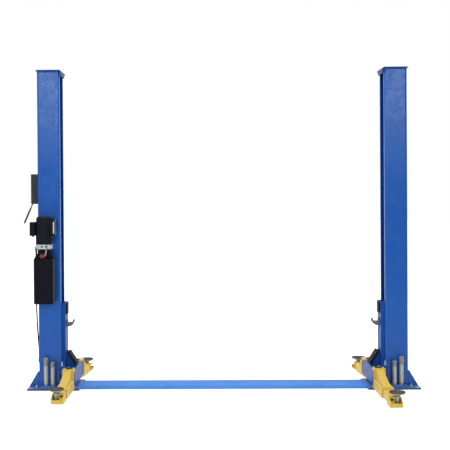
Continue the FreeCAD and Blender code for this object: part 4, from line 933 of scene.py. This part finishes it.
# %% Height adapters
ADAPTER_LINE = -0.190        # the adapters stand in a row across the front of each post
ADAPTER_FOOT = 0.0213        # just clear of the rack's floor
ADAPTERS = ((1.563, 0.283, 0.070), (1.5035, 0.245, 0.046))     # distance from the middle, top, collar height
STEM_RADIUS, COLLAR_RADIUS = 0.019, 0.021
stems, collars = bmesh.new(), bmesh.new()
for side in SIDES.values():
    for x, top, collar in ADAPTERS:
        centre = (side * x, ADAPTER_LINE, 0)
        neck = top - collar
        add_turned(stems, [(0, ADAPTER_FOOT), (STEM_RADIUS - 0.0015, ADAPTER_FOOT),
                           (STEM_RADIUS, ADAPTER_FOOT + 0.0015), (STEM_RADIUS, neck - 0.001),
                           (STEM_RADIUS - 0.0015, neck), (STEM_RADIUS - 0.0015, neck + 0.002),
                           (0, neck + 0.002)], centre)
        add_turned(collars, [(0, neck + 0.001), (COLLAR_RADIUS - 0.003, neck + 0.001),
                             (COLLAR_RADIUS, neck + 0.003), (COLLAR_RADIUS, neck + 0.012),
                             (COLLAR_RADIUS - 0.0008, neck + 0.013), (COLLAR_RADIUS - 0.0008, neck + 0.015),
                             (COLLAR_RADIUS, neck + 0.016), (COLLAR_RADIUS, top - 0.002),
                             (COLLAR_RADIUS - 0.002, top), (0.014, top), (0.0125, top - 0.003),
                             (0.006, top - 0.004), (0, top - 0.004)], centre)
stems = piece("adapter_stems", mesh_of(stems, "adapter stems", adapter_zinc), "root")
collars = piece("adapter_collars", mesh_of(collars, "adapter collars", adapter_brown), "root")
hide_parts("height_adapters")
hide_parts("height_adapters")
print("adapters", len(SIDES) * len(ADAPTERS))

# %% [markdown]
# ## The motor
#
# The motor is a drawn steel shell between two end bells, and rows of louvres let its air out near both ends.
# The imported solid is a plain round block. A turned outline gives the steps and the rounded head of the real
# one, and the louvres are one small block, repeated round the shell.

# %% Motor
# The foot's steps are insets and heights over it, the head's are insets and drops from the top.
FOOT_STEPS = ((0.001, 0), (0, 0.001), (0, 0.012), (0.001, 0.013), (0.003, 0.016), (0.003, 0.046),
              (0.005, 0.047), (0.005, 0.049), (0.001, 0.050))
HEAD_STEPS = ((0.001, 0.048), (0.004, 0.046), (0.007, 0.044), (0.007, 0.018), (0.012, 0.008), (0.022, 0.001),
              (0.030, 0))
HEAD_DISH = ((0.030, 0), (0.028, 0.002), (0, 0.002))           # radius, and drop from the top
LOUVRE_COUNT, LOUVRE_LINE = 20, 0.031    # each row's middle is this far from its end of the motor
LOUVRE_HALF, LOUVRE_HALF_HEIGHT = 0.0045, 0.011
HEAD_ROW_INSET = 0.0035                  # the head's row sits deeper, where the shell narrows
(x0, y0, z0), (x1, y1, z1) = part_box("motor_housing")
centre = Vector(((x0 + x1) / 2, (y0 + y1) / 2, 0))
radius = (x1 - x0) / 2
outline = [(0, z0)] + [(radius - inset, z0 + up) for inset, up in FOOT_STEPS]
outline += [(radius - inset, z1 - drop) for inset, drop in HEAD_STEPS]
outline += [(reach, z1 - drop) for reach, drop in HEAD_DISH]
shape = bmesh.new()
add_turned(shape, outline, centre, sides=72)
shell = mesh_of(shape, "motor shell", motor_black)
louvre = bmesh.new()
add_block(louvre, (radius - 0.008, -LOUVRE_HALF, -LOUVRE_HALF_HEIGHT),
          (radius - 0.0015, LOUVRE_HALF, LOUVRE_HALF_HEIGHT), 0.0015)
places = []
for height, back in ((z0 + LOUVRE_LINE, 0.0), (z1 - LOUVRE_LINE, -HEAD_ROW_INSET)):
    for step in range(LOUVRE_COUNT):
        angle = 2 * math.pi * step / LOUVRE_COUNT
        outward = Vector((math.cos(angle), math.sin(angle), 0))
        places.append((centre + outward * back + Vector((0, 0, height)), (0, 0, angle)))
louvres = repeated("louvres", mesh_of(louvre, "louvre"), motor_black, places)
motor = piece("motor_shell", together("motor", [shell, louvres]), "root")
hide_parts("motor_housing")
print("motor louvres", len(places))

# %% [markdown]
# ## Covers and fixings of the power unit
#
# Small fixings tell the eye how big a machine is. All the screws here are one hex head with a flange, drawn
# at a size and height of choice, and the copies tree stands it on a face to the front, the right or the left.

# %% Small fixings
TO_FRONT = (math.pi / 2, 0, 0)
TO_RIGHT = (0, math.pi / 2, 0)
TO_LEFT = (0, -math.pi / 2, 0)


def screw_mesh(across, height):
    """A hex head with a flange, standing on Z = 0."""
    shape = bmesh.new()
    flange = [(0, 0), (across * 0.68, 0), (across * 0.66, 0.0008), (across * 0.5, 0.0012), (0, 0.0012)]
    add_turned(shape, flange, ORIGIN, sides=20)
    add_turned(shape, hex_outline(across, 0.0008, height) + [(0, height)], ORIGIN, sides=6)
    return mesh_of(shape, "screw")


# %% [markdown]
# The switch box is moulded in two halves with a push button and a cable gland. Blocks with eased edges stand
# a little apart, so the joint between box and lid shows as a dark line, which a single box would not have.

# %% Switch box
LID = 0.012
JOINT = 0.002                # the gap between the box and its lid
BUTTON_RISE = 0.012          # the button is this far over the box's middle
BUTTON = ((0, 0), (0.015, 0), (0.015, 0.002), (0.012, 0.003), (0.011, 0.003), (0.011, 0.006), (0.009, 0.007),
          (0, 0.007))
GLAND = ((0, 0), (0.009, 0), (0.009, 0.010), (0.007, 0.012), (0, 0.012))
(x0, y0, z0), (x1, y1, z1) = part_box("motor_switch_box")
middle = (x0 + x1) / 2
shape = bmesh.new()
add_block(shape, (x0, y0 + LID, z0), (x1, y1, z1), 0.004)
add_block(shape, (x0 + JOINT, y0 + LID - 0.003, z0 + JOINT), (x1 - 0.001, y0 + LID + 0.001, z1 - JOINT))
add_block(shape, (x0, y0 + 0.001, z0), (x1, y0 + LID - JOINT, z1), 0.004)
add_turned(shape, BUTTON, (middle, y0 + 0.002, (z0 + z1) / 2 + BUTTON_RISE), (0, -1, 0), 28)
add_turned(shape, GLAND, (middle, (y0 + y1) / 2, z0 + 0.001), (0, 0, -1), 16)
box = piece("switch_box_body", mesh_of(shape, "switch box", box_plastic), "root")
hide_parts("motor_switch_box")
print("switch box", round(x1 - x0, 3), "by", round(z1 - z0, 3))

# %% [markdown]
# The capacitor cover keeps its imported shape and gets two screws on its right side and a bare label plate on
# its front. Four bolts hold the bracket. Each group is one mesh, because separate screws would only make a
# longer list of pieces.

# %% Capacitor cover and bracket fixings
LABEL_LEFT, LABEL_RIGHT = -1.478, -1.468
LABEL_FOOT, LABEL_HEAD = 0.024, 0.030    # clear of the cover's lower and upper edge
(x0, y0, z0), (x1, y1, z1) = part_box("motor_capacitor_cover")
shape = bmesh.new()
add_block(shape, (LABEL_LEFT, y0 - 0.0006, z0 + LABEL_FOOT), (LABEL_RIGHT, y0 + 0.0005, z1 - LABEL_HEAD),
          0.0003)
piece("bare_label", mesh_of(shape, "bare label", label_white), "root")
places = [(Vector((x1, (y0 + y1) / 2, height)), TO_RIGHT) for height in (z0 + 0.018, z1 - 0.022)]
piece("capacitor_screws", repeated("capacitor screws", screw_mesh(0.007, 0.003), zinc, places), "root")
(x0, y0, z0), (x1, y1, z1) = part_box("power_unit_bracket")
places = [(Vector((x, y0, z)), TO_FRONT) for x in (x0 + 0.014, x1 - 0.014) for z in (z1 - 0.018, z1 - 0.080)]
piece("bracket_bolts", repeated("bracket bolts", screw_mesh(0.016, 0.009), zinc, places), "root")
print("bracket bolts", len(places))

# %% [markdown]
# The pump block is machined from solid, and screws hold it to the motor's flange. Its drilled ports could be
# cut into it, but each is closed with a hex plug, so only the plugs are made. Its relief valve has a six
# sided head with a recess. The release lever turns on a screw, which rides on the lever's own body.

# %% Pump block fixings
BLOCK_FACE = -0.312
VALVE_X, VALVE_SUNK = -1.572, 0.012
VALVE = ((0, 0), (0.0085, 0), (0.0085, 0.006), (0.0075, 0.008), (0.004, 0.008), (0.004, 0.005), (0, 0.005))
FRONT_PORT_X, RIGHT_PORT_Y, LEFT_PORT_Y = -1.604, -0.250, -0.270
(x0, y0, z0), (x1, y1, z1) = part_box("pump_block")
height = (z0 + z1) / 2
shape = bmesh.new()
add_turned(shape, VALVE, (VALVE_X, BLOCK_FACE + VALVE_SUNK, height), (0, -1, 0), 6)
piece("relief_valve", mesh_of(shape, "relief valve", dark_steel), "root")
corners = [(Vector((x, BLOCK_FACE, z)), TO_FRONT) for x in (x0 + 0.008, x1 - 0.008)
           for z in (z0 + 0.008, z1 - 0.008)]
ports = [(Vector((FRONT_PORT_X, BLOCK_FACE, height)), TO_FRONT),
         (Vector((x1, RIGHT_PORT_Y, height)), TO_RIGHT), (Vector((x0, LEFT_PORT_Y, height)), TO_LEFT)]
screws = repeated("block screws", screw_mesh(0.006, 0.004), dark_steel, corners)
plugs = repeated("port plugs", screw_mesh(0.014, 0.006), zinc, ports)
piece("block_fixings", together("block fixings", [screws, plugs]), "root")
pivot = Vector(joint_of["release_lever_turn"]["pos_m"])
pivot.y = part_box("release_lever")[0][1]
screw = repeated("lever screw", screw_mesh(0.010, 0.004), dark_steel, [(pivot, TO_FRONT)])
piece("lever_screw", screw, "release_lever")
print("block fixings", len(corners) + len(ports))

# %% [markdown]
# ## The tank and its cap
#
# The tank is blow moulded in two halves, so a thin seam runs round its sides and two shallow ribs stiffen its
# front. They could be cut into the tank's own mesh, but each is only a raised line, so each is a thin tube
# sunk half its width into the wall.

# %% Tank


def thin_line(name, points, radius, finish):
    """A thin round line through points, as a mesh."""
    curve = bpy.data.curves.new(name, "CURVE")
    curve.dimensions = "3D"
    curve.bevel_depth = radius
    curve.bevel_resolution = 2
    curve.use_fill_caps = True
    spline = curve.splines.new("POLY")
    spline.points.add(len(points) - 1)
    for spot, point in zip(spline.points, points):
        spot.co = (*point, 1)
    thing = bpy.data.objects.new(name, curve)
    scene.collection.objects.link(thing)
    mesh = bpy.data.meshes.new_from_object(thing.evaluated_get(bpy.context.evaluated_depsgraph_get()))
    bpy.data.objects.remove(thing)
    mesh.materials.clear()
    mesh.materials.append(finish)
    return mesh


TANK_LEFT, TANK_RIGHT, TANK_LOW, TANK_FRONT = -1.647, -1.476, 0.768, -0.322
SHOULDER = 1.165             # height where the tank's shoulders begin
SEAM_Y = -0.238              # the mould's halves meet here
SEAM_BEND = 0.010
SEAM_RADIUS, RIB_RADIUS = 0.0012, 0.0022
RIBS = (-1.610, -1.556)
RIB_LOW, RIB_HIGH = TANK_LOW + 0.030, 1.135
MARK_X, MARKS = -1.571, (0.876, 0.902)   # the two round level marks on the front
MARK = ((0, 0), (0.005, 0), (0.0045, 0.0012), (0, 0.0015))
seam = [(TANK_LEFT, SEAM_Y, SHOULDER)]
for centre_x, start in ((TANK_LEFT + SEAM_BEND, 180), (TANK_RIGHT - SEAM_BEND, 270)):
    for step in range(5):
        angle = math.radians(start + 22.5 * step)
        seam.append((centre_x + SEAM_BEND * math.cos(angle), SEAM_Y,
                     TANK_LOW + SEAM_BEND + SEAM_BEND * math.sin(angle)))
seam.append((TANK_RIGHT, SEAM_Y, SHOULDER))
parts = [thin_line("seam", seam, SEAM_RADIUS, tank_plastic)]
for x in RIBS:
    rib = [(x, TANK_FRONT + 0.0005, RIB_LOW), (x, TANK_FRONT + 0.0005, RIB_HIGH)]
    parts.append(thin_line("rib", rib, RIB_RADIUS, tank_plastic))
marks = bmesh.new()
for z in MARKS:
    add_turned(marks, MARK, (MARK_X, TANK_FRONT, z), (0, -1, 0), 20)
parts.append(mesh_of(marks, "level marks", box_plastic))
piece("tank_seam", together("tank seam", parts), "root")
print("lines on the tank", len(parts) - 1)

# %% [markdown]
# The filler cap is domed, and ribs round its side give a hand grip. They could be notches in its outline, but
# the dome stays round above them, so it is turned, and one rib is drawn at its rim and repeated.

# %% Filler cap
CAP_STEPS = ((0.001, 0), (0, 0.001), (0, 0.005), (0.0015, 0.006))      # inset, and height over the cap's foot
CAP_DOME = ((0.002, 0.009), (0.004, 0.005), (0.009, 0.002), (0.015, 0))     # inset, and drop from its top
CAP_RIBS = 24
CAP_RIB_HALF = 0.0011
(x0, y0, z0), (x1, y1, z1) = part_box("tank_filler_cap")
centre = Vector(((x0 + x1) / 2, (y0 + y1) / 2, 0))
radius = (x1 - x0) / 2
outline = [(0, z0)] + [(radius - inset, z0 + up) for inset, up in CAP_STEPS]
outline += [(radius - inset, z1 - drop) for inset, drop in CAP_DOME] + [(0, z1)]
shape = bmesh.new()
add_turned(shape, outline, centre, sides=48)
cap = mesh_of(shape, "cap", cap_red)
rib = bmesh.new()
add_block(rib, (radius - 0.003, -CAP_RIB_HALF, z0 + 0.006), (radius - 0.0004, CAP_RIB_HALF, z1 - 0.010),
          0.0006)
places = [(centre, (0, 0, 2 * math.pi * step / CAP_RIBS)) for step in range(CAP_RIBS)]
ribs = repeated("cap ribs", mesh_of(rib, "rib"), cap_red, places)
cap_piece = piece("filler_cap", together("filler cap", [cap, ribs]), "root")
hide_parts("tank_filler_cap")
print("cap ribs", len(places))

# %% [markdown]
# ## The lock release
#
# A folded sheet cover hides the lock's latch. Hex screws hold it, and a steel rod with a dark red sleeve
# hangs out of its slot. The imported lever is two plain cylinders. The rod, its eye and the sleeve with its
# finger grooves are turned about the rod's own axis, which leans from the pivot, and replace them.

# %% Lock release
LEVER_LEAN = math.radians(23.5)
ROD_LENGTH, GRIP_LENGTH, ROD_RADIUS, GRIP_RADIUS = 0.206, 0.150, 0.005, 0.008
EYE = ((0.0042, -0.007), (0.010, -0.007), (0.010, 0.007), (0.0042, 0.007), (0.0042, -0.007))
RING_COUNT, RING_PITCH, RING_START, RING_DEPTH = 9, 0.008, 0.060, 0.0008
MERGE = 0.00001              # points this near are one
(x0, y0, z0), (x1, y1, z1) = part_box("lock_cover")
places = [(Vector((x, y0, z)), TO_FRONT) for x in (x0 + 0.010, x1 - 0.010) for z in (z0 + 0.040, z1 - 0.014)]
piece("lock_cover_screws", repeated("cover screws", screw_mesh(0.007, 0.003), dark_steel, places), "root")
pivot = Vector(joint_of["lock_lever_pull"]["pos_m"])
down = Vector((-math.sin(LEVER_LEAN), 0, -math.cos(LEVER_LEAN)))
start = ROD_LENGTH - GRIP_LENGTH
shape = bmesh.new()
rod = [(0, 0.006), (ROD_RADIUS, 0.006), (ROD_RADIUS, start + 0.004), (0, start + 0.004)]
add_turned(shape, rod, pivot, down, 20)
add_turned(shape, EYE, pivot, (0, 1, 0), 28)
bmesh.ops.remove_doubles(shape, verts=shape.verts, dist=MERGE)
rod_piece = piece("lever_rod", mesh_of(shape, "lever rod", dark_steel), "lock_lever")
grip = [(0, start), (ROD_RADIUS + 0.0012, start), (ROD_RADIUS + 0.002, start + 0.002)]
for step in range(RING_COUNT):
    ring = start + RING_START + RING_PITCH * step
    grip += [(GRIP_RADIUS, ring), (GRIP_RADIUS, ring + 0.005), (GRIP_RADIUS - RING_DEPTH, ring + 0.0055),
             (GRIP_RADIUS - RING_DEPTH, ring + 0.0075)]
grip += [(GRIP_RADIUS - 0.001, ROD_LENGTH - 0.003), (GRIP_RADIUS - 0.003, ROD_LENGTH), (0, ROD_LENGTH)]
shape = bmesh.new()
add_turned(shape, grip, pivot, down, 24)
grip_piece = piece("lever_grip", mesh_of(shape, "lever grip", handle_red), "lock_lever")
for thing in (rod_piece, grip_piece):
    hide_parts("lock_lever")
print("finger grooves", RING_COUNT)

# %% [markdown]
# ## The hose
#
# One hose runs from the pump block down beside the left post and goes into it low down. It is a fixed length
# of stiff rubber hose. A rigid sweep would show the same here; it is drawn as a spline through its route with
# a round bevel. Turned steel ferrules crimp its ends.

# %% Hose
HOSE_RADIUS = 0.0065
ROUTE = [(-1.648, -0.151, 1.238), (-1.648, -0.151, 1.110), (-1.652, -0.147, 0.960), (-1.652, -0.140, 0.810),
         (-1.650, -0.128, 0.660), (-1.649, -0.104, 0.540), (-1.650, -0.062, 0.440), (-1.652, -0.016, 0.360),
         (-1.653, 0.010, 0.300), (-1.653, 0.010, 0.240)]
hose_curve = bpy.data.curves.new("hose", "CURVE")
hose_curve.dimensions = "3D"
hose_curve.bevel_depth = HOSE_RADIUS
hose_curve.bevel_resolution = 4
hose_curve.resolution_u = 16
hose_curve.use_fill_caps = True
spline = hose_curve.splines.new("NURBS")
spline.points.add(len(ROUTE) - 1)
for spot, point in zip(spline.points, ROUTE):
    spot.co = (*point, 1)
spline.order_u = 3
spline.use_endpoint_u = True
hose_curve.materials.append(hose_rubber)
hose = bpy.data.objects.new("hose", hose_curve)
scene.collection.objects.link(hose)
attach(hose, "root")
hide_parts("hydraulic_hose")

# %% Hose ferrules
BORE = 0.0066                # just over the hose
FERRULE = ((BORE, -0.001), (0.0098, -0.001), (0.0098, 0.004), (0.0086, 0.006), (0.0086, 0.030),
           (0.0080, 0.032), (BORE, 0.032), (BORE, -0.001))
HEX_ACROSS, HEX_HEIGHT = 0.021, 0.012
hexagon = hex_outline(HEX_ACROSS, 0, HEX_HEIGHT) + [(0, HEX_HEIGHT), (0, 0)]
shape = bmesh.new()
for spot, way in ((ROUTE[0], -1), (ROUTE[-1], 1)):
    add_turned(shape, FERRULE, spot, (0, 0, way), 24)
    add_turned(shape, hexagon, spot, (0, 0, -way), 6)
bmesh.ops.remove_doubles(shape, verts=shape.verts, dist=MERGE)
ferrules = piece("hose_ferrules", mesh_of(shape, "hose ferrules", dark_steel), "root")

# %% [markdown]
# ## Rubber on the carriages
#
# A flat bumper meets a car's door, and a thick sloped strip covers the carriage's ribs. Both are moulded with
# rounded edges. A bevel in the shader would round only their shading, so they are drawn anew with eased edges
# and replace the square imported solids. Screws with washers show where they are held.

# %% Door guards
CARRIER_FACE = 1.402                     # the carrier's inner face, from the lift's middle
GUARD_HALF, BUMPER_HALF = 0.075, 0.060
BUMPER_LOW, BUMPER_HIGH, BUMPER_THICK = 0.651, 0.752, 0.011
BUMPER_SCREW_IN, STRIP_SCREW_OUT = 0.022, 0.044
GUARD_BACK = ((1.322, 0.200), (1.394, 0.314))     # the back of the sloped strip: foot and top
GUARD_SKIN, GUARD_RISE = 0.020, 0.006             # its front stands this far in, and this much higher
GUARD_EASE = 0.004
(foot_x, foot_z), (top_x, top_z) = GUARD_BACK
front_foot, front_top = (foot_x - GUARD_SKIN, foot_z + GUARD_RISE), (top_x - GUARD_SKIN, top_z + GUARD_RISE)
section = [GUARD_BACK[0], GUARD_BACK[1], front_top, front_foot]
for side_name, side in SIDES.items():
    shape = bmesh.new()
    edge = sorted((side * (CARRIER_FACE - BUMPER_THICK), side * (CARRIER_FACE - 0.0003)))
    add_block(shape, (edge[0], -BUMPER_HALF, BUMPER_LOW), (edge[1], BUMPER_HALF, BUMPER_HIGH), GUARD_EASE)
    faces = add_slab(shape, [(side * x, z) for x, z in section], -GUARD_HALF, GUARD_HALF)
    edges = list({edge for face in faces for edge in face.edges})
    bmesh.ops.bevel(shape, geom=edges, offset=GUARD_EASE, segments=3, profile=0.5, affect="EDGES")
    rubber_mesh = mesh_of(shape, "guard rubber", rubber)
    slope = Vector((side * (top_x - foot_x), 0, top_z - foot_z)).normalized()
    lean = math.atan2(-side * slope.z, abs(slope.x))
    foot, top = [Vector((side * x, 0, z)) for x, z in (front_foot, front_top)]
    places = [(foot.lerp(top, share) + Vector((0, y, 0)), (0, lean, 0)) for share in (0.25, 0.75)
              for y in (-STRIP_SCREW_OUT, STRIP_SCREW_OUT)]
    inwards = TO_LEFT if side > 0 else TO_RIGHT
    for z in (BUMPER_LOW + BUMPER_SCREW_IN, BUMPER_HIGH - BUMPER_SCREW_IN):
        places.append((Vector((side * (CARRIER_FACE - BUMPER_THICK), 0, z)), inwards))
    screws = repeated("guard screws", screw_mesh(0.008, 0.0025), dark_steel, places)
    guard = piece(f"{side_name}_guard_rubber", together("guards", [rubber_mesh, screws]),
                  f"{side_name}_carriage")
    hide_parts(f"{side_name}_door_guards")
print("guard screws on each side", len(places))

# %% [markdown]
# ## Carriage welds
#
# Each carriage's carrier is a box of thick plate round the pin bosses. The same bead tree lays short beads
# beside the arms, long ones up the tongue, and two pairs at the foot of the ribs.

# %% Carriage welds
TONGUE_X, TONGUE_HALF = 1.447, 0.091
WELD_LOW, TONGUE_TOP, RIB_TOP = 0.190, 0.752, 0.305
RIB_SIDES = (-0.049, -0.039, 0.039, 0.049)
END_HEIGHT, END_START, END_STOP = 0.176, 0.118, 0.180
for side_name, side in SIDES.items():
    face = side * (CARRIER_FACE + BEAD_LIFT)
    inner = face - side * 0.002
    lines = [[(face, -END_STOP, END_HEIGHT), (face, -END_START, END_HEIGHT)],
             [(face, END_START, END_HEIGHT), (face, END_STOP, END_HEIGHT)]]
    for y in (-TONGUE_HALF, TONGUE_HALF):
        lines.append([(side * TONGUE_X, y, WELD_LOW), (side * TONGUE_X, y, TONGUE_TOP)])
    lines += [[(inner, y, WELD_LOW), (inner, y, RIB_TOP)] for y in RIB_SIDES]
    beads = welded(f"{side_name}_carriage_welds", lines, carriage_blue, 0.006, 0.0042)
    piece(f"{side_name}_carriage_welds", beads, f"{side_name}_carriage")
print("welds on each carriage", len(lines))

# %% [markdown]
# ## The lift chains
#
# A leaf chain is stacks of flat plates on pins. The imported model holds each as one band. A picture of links
# on that band would look flat in the open slot, so a tree walks the band's middle line in steps of one pitch
# and sets a wide stack and a narrow stack by turns, with a pin at each. The stacks have few faces, because
# there are hundreds of them.

# %% Link stacks
CHAIN_PITCH = 0.015875
PLATE_HEIGHT, PLATE_THICK = 0.0118, 0.0030
PIN_RADIUS, PIN_HALF = 0.0026, 0.0118
WIDE_STACK, NARROW_STACK = (-0.0102, -0.0034, 0.0034, 0.0102), (-0.0068, 0.0, 0.0068)


def link_mesh(offsets):
    """A stack of link plates one pitch long, each an eight sided outline, with the pin at its start."""
    shape = bmesh.new()
    end, half = PLATE_HEIGHT * 0.42, PLATE_HEIGHT / 2
    far = CHAIN_PITCH
    outline = [(-end, -half * 0.5), (-end * 0.5, -half), (far + end * 0.5, -half), (far + end, -half * 0.5),
               (far + end, half * 0.5), (far + end * 0.5, half), (-end * 0.5, half), (-end, half * 0.5)]
    for offset in offsets:
        add_slab(shape, outline, offset - PLATE_THICK / 2, offset + PLATE_THICK / 2)
    add_turned(shape, [(0, -PIN_HALF), (PIN_RADIUS, -PIN_HALF), (PIN_RADIUS, PIN_HALF), (0, PIN_HALF)],
               ORIGIN, (0, 1, 0), 6)
    return mesh_of(shape, "link")


def chain_tree():
    """Wide and narrow link stacks by turns along a line."""
    tree, given = start_tree("leaf chain", {"Wide": "Object", "Narrow": "Object", "Pitch": "Float",
                                            "Finish": "Material"})
    line = add(tree, "GeometryNodeMeshToCurve", Mesh=given["Geometry"])
    spots = add(tree, "GeometryNodeResampleCurve", {"mode": "LENGTH"}, Curve=line, Length=given["Pitch"])
    along = add(tree, "GeometryNodeInputTangent")
    turn = add(tree, "FunctionNodeAlignRotationToVector", {"axis": "X", "pivot_axis": "Y"}, Vector=along)
    odd = add(tree, "ShaderNodeMath", {"operation": "MODULO"}, i0=add(tree, "GeometryNodeInputIndex"), i1=2.0)
    even = add(tree, "ShaderNodeMath", {"operation": "SUBTRACT"}, i0=1.0, i1=odd)
    both = add(tree, "GeometryNodeJoinGeometry")
    for name, chosen in (("Wide", even), ("Narrow", odd)):
        shape = add(tree, "GeometryNodeObjectInfo", Object=given[name]).outputs["Geometry"]
        put = add(tree, "GeometryNodeInstanceOnPoints", Points=spots, Instance=shape, Rotation=turn,
                  Selection=chosen)
        plug(tree, both, Geometry=put)
    return end_tree(tree, both, given["Finish"])


# %% Lift chains
CHAIN_AXIS, SHEAVE_HEIGHT, PITCH_RADIUS = 1.546, 1.340, 0.048
CHAIN_END = 0.211            # height of the first link
ARC_STEPS = 32
CHAIN = chain_tree()
stacks = []
for name, offsets in (("wide", WIDE_STACK), ("narrow", NARROW_STACK)):
    stacks.append(bpy.data.objects.new(name, link_mesh(offsets)))
    scene.collection.objects.link(stacks[-1])
for side_name, side in SIDES.items():
    x = side * CHAIN_AXIS
    line = [(x - PITCH_RADIUS, 0, CHAIN_END)]
    for step in range(ARC_STEPS + 1):
        angle = math.pi * (1 - step / ARC_STEPS)
        line.append((x + PITCH_RADIUS * math.cos(angle), 0, SHEAVE_HEIGHT + PITCH_RADIUS * math.sin(angle)))
    line.append((x + PITCH_RADIUS, 0, CHAIN_END + CHAIN_PITCH))
    base = bpy.data.meshes.new("chain line")
    base.from_pydata(line, [(step, step + 1) for step in range(len(line) - 1)], [])
    made = grown(f"{side_name}_chain_links", base, CHAIN, Wide=stacks[0], Narrow=stacks[1], Pitch=CHAIN_PITCH,
                 Finish=link_steel)
    links = piece(f"{side_name}_chain_links", made, f"{side_name}_rod", 30)
    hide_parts(f"{side_name}_lift_chain")
    print(side_name, "chain faces", len(made.polygons))
for thing in stacks:
    bpy.data.objects.remove(thing)
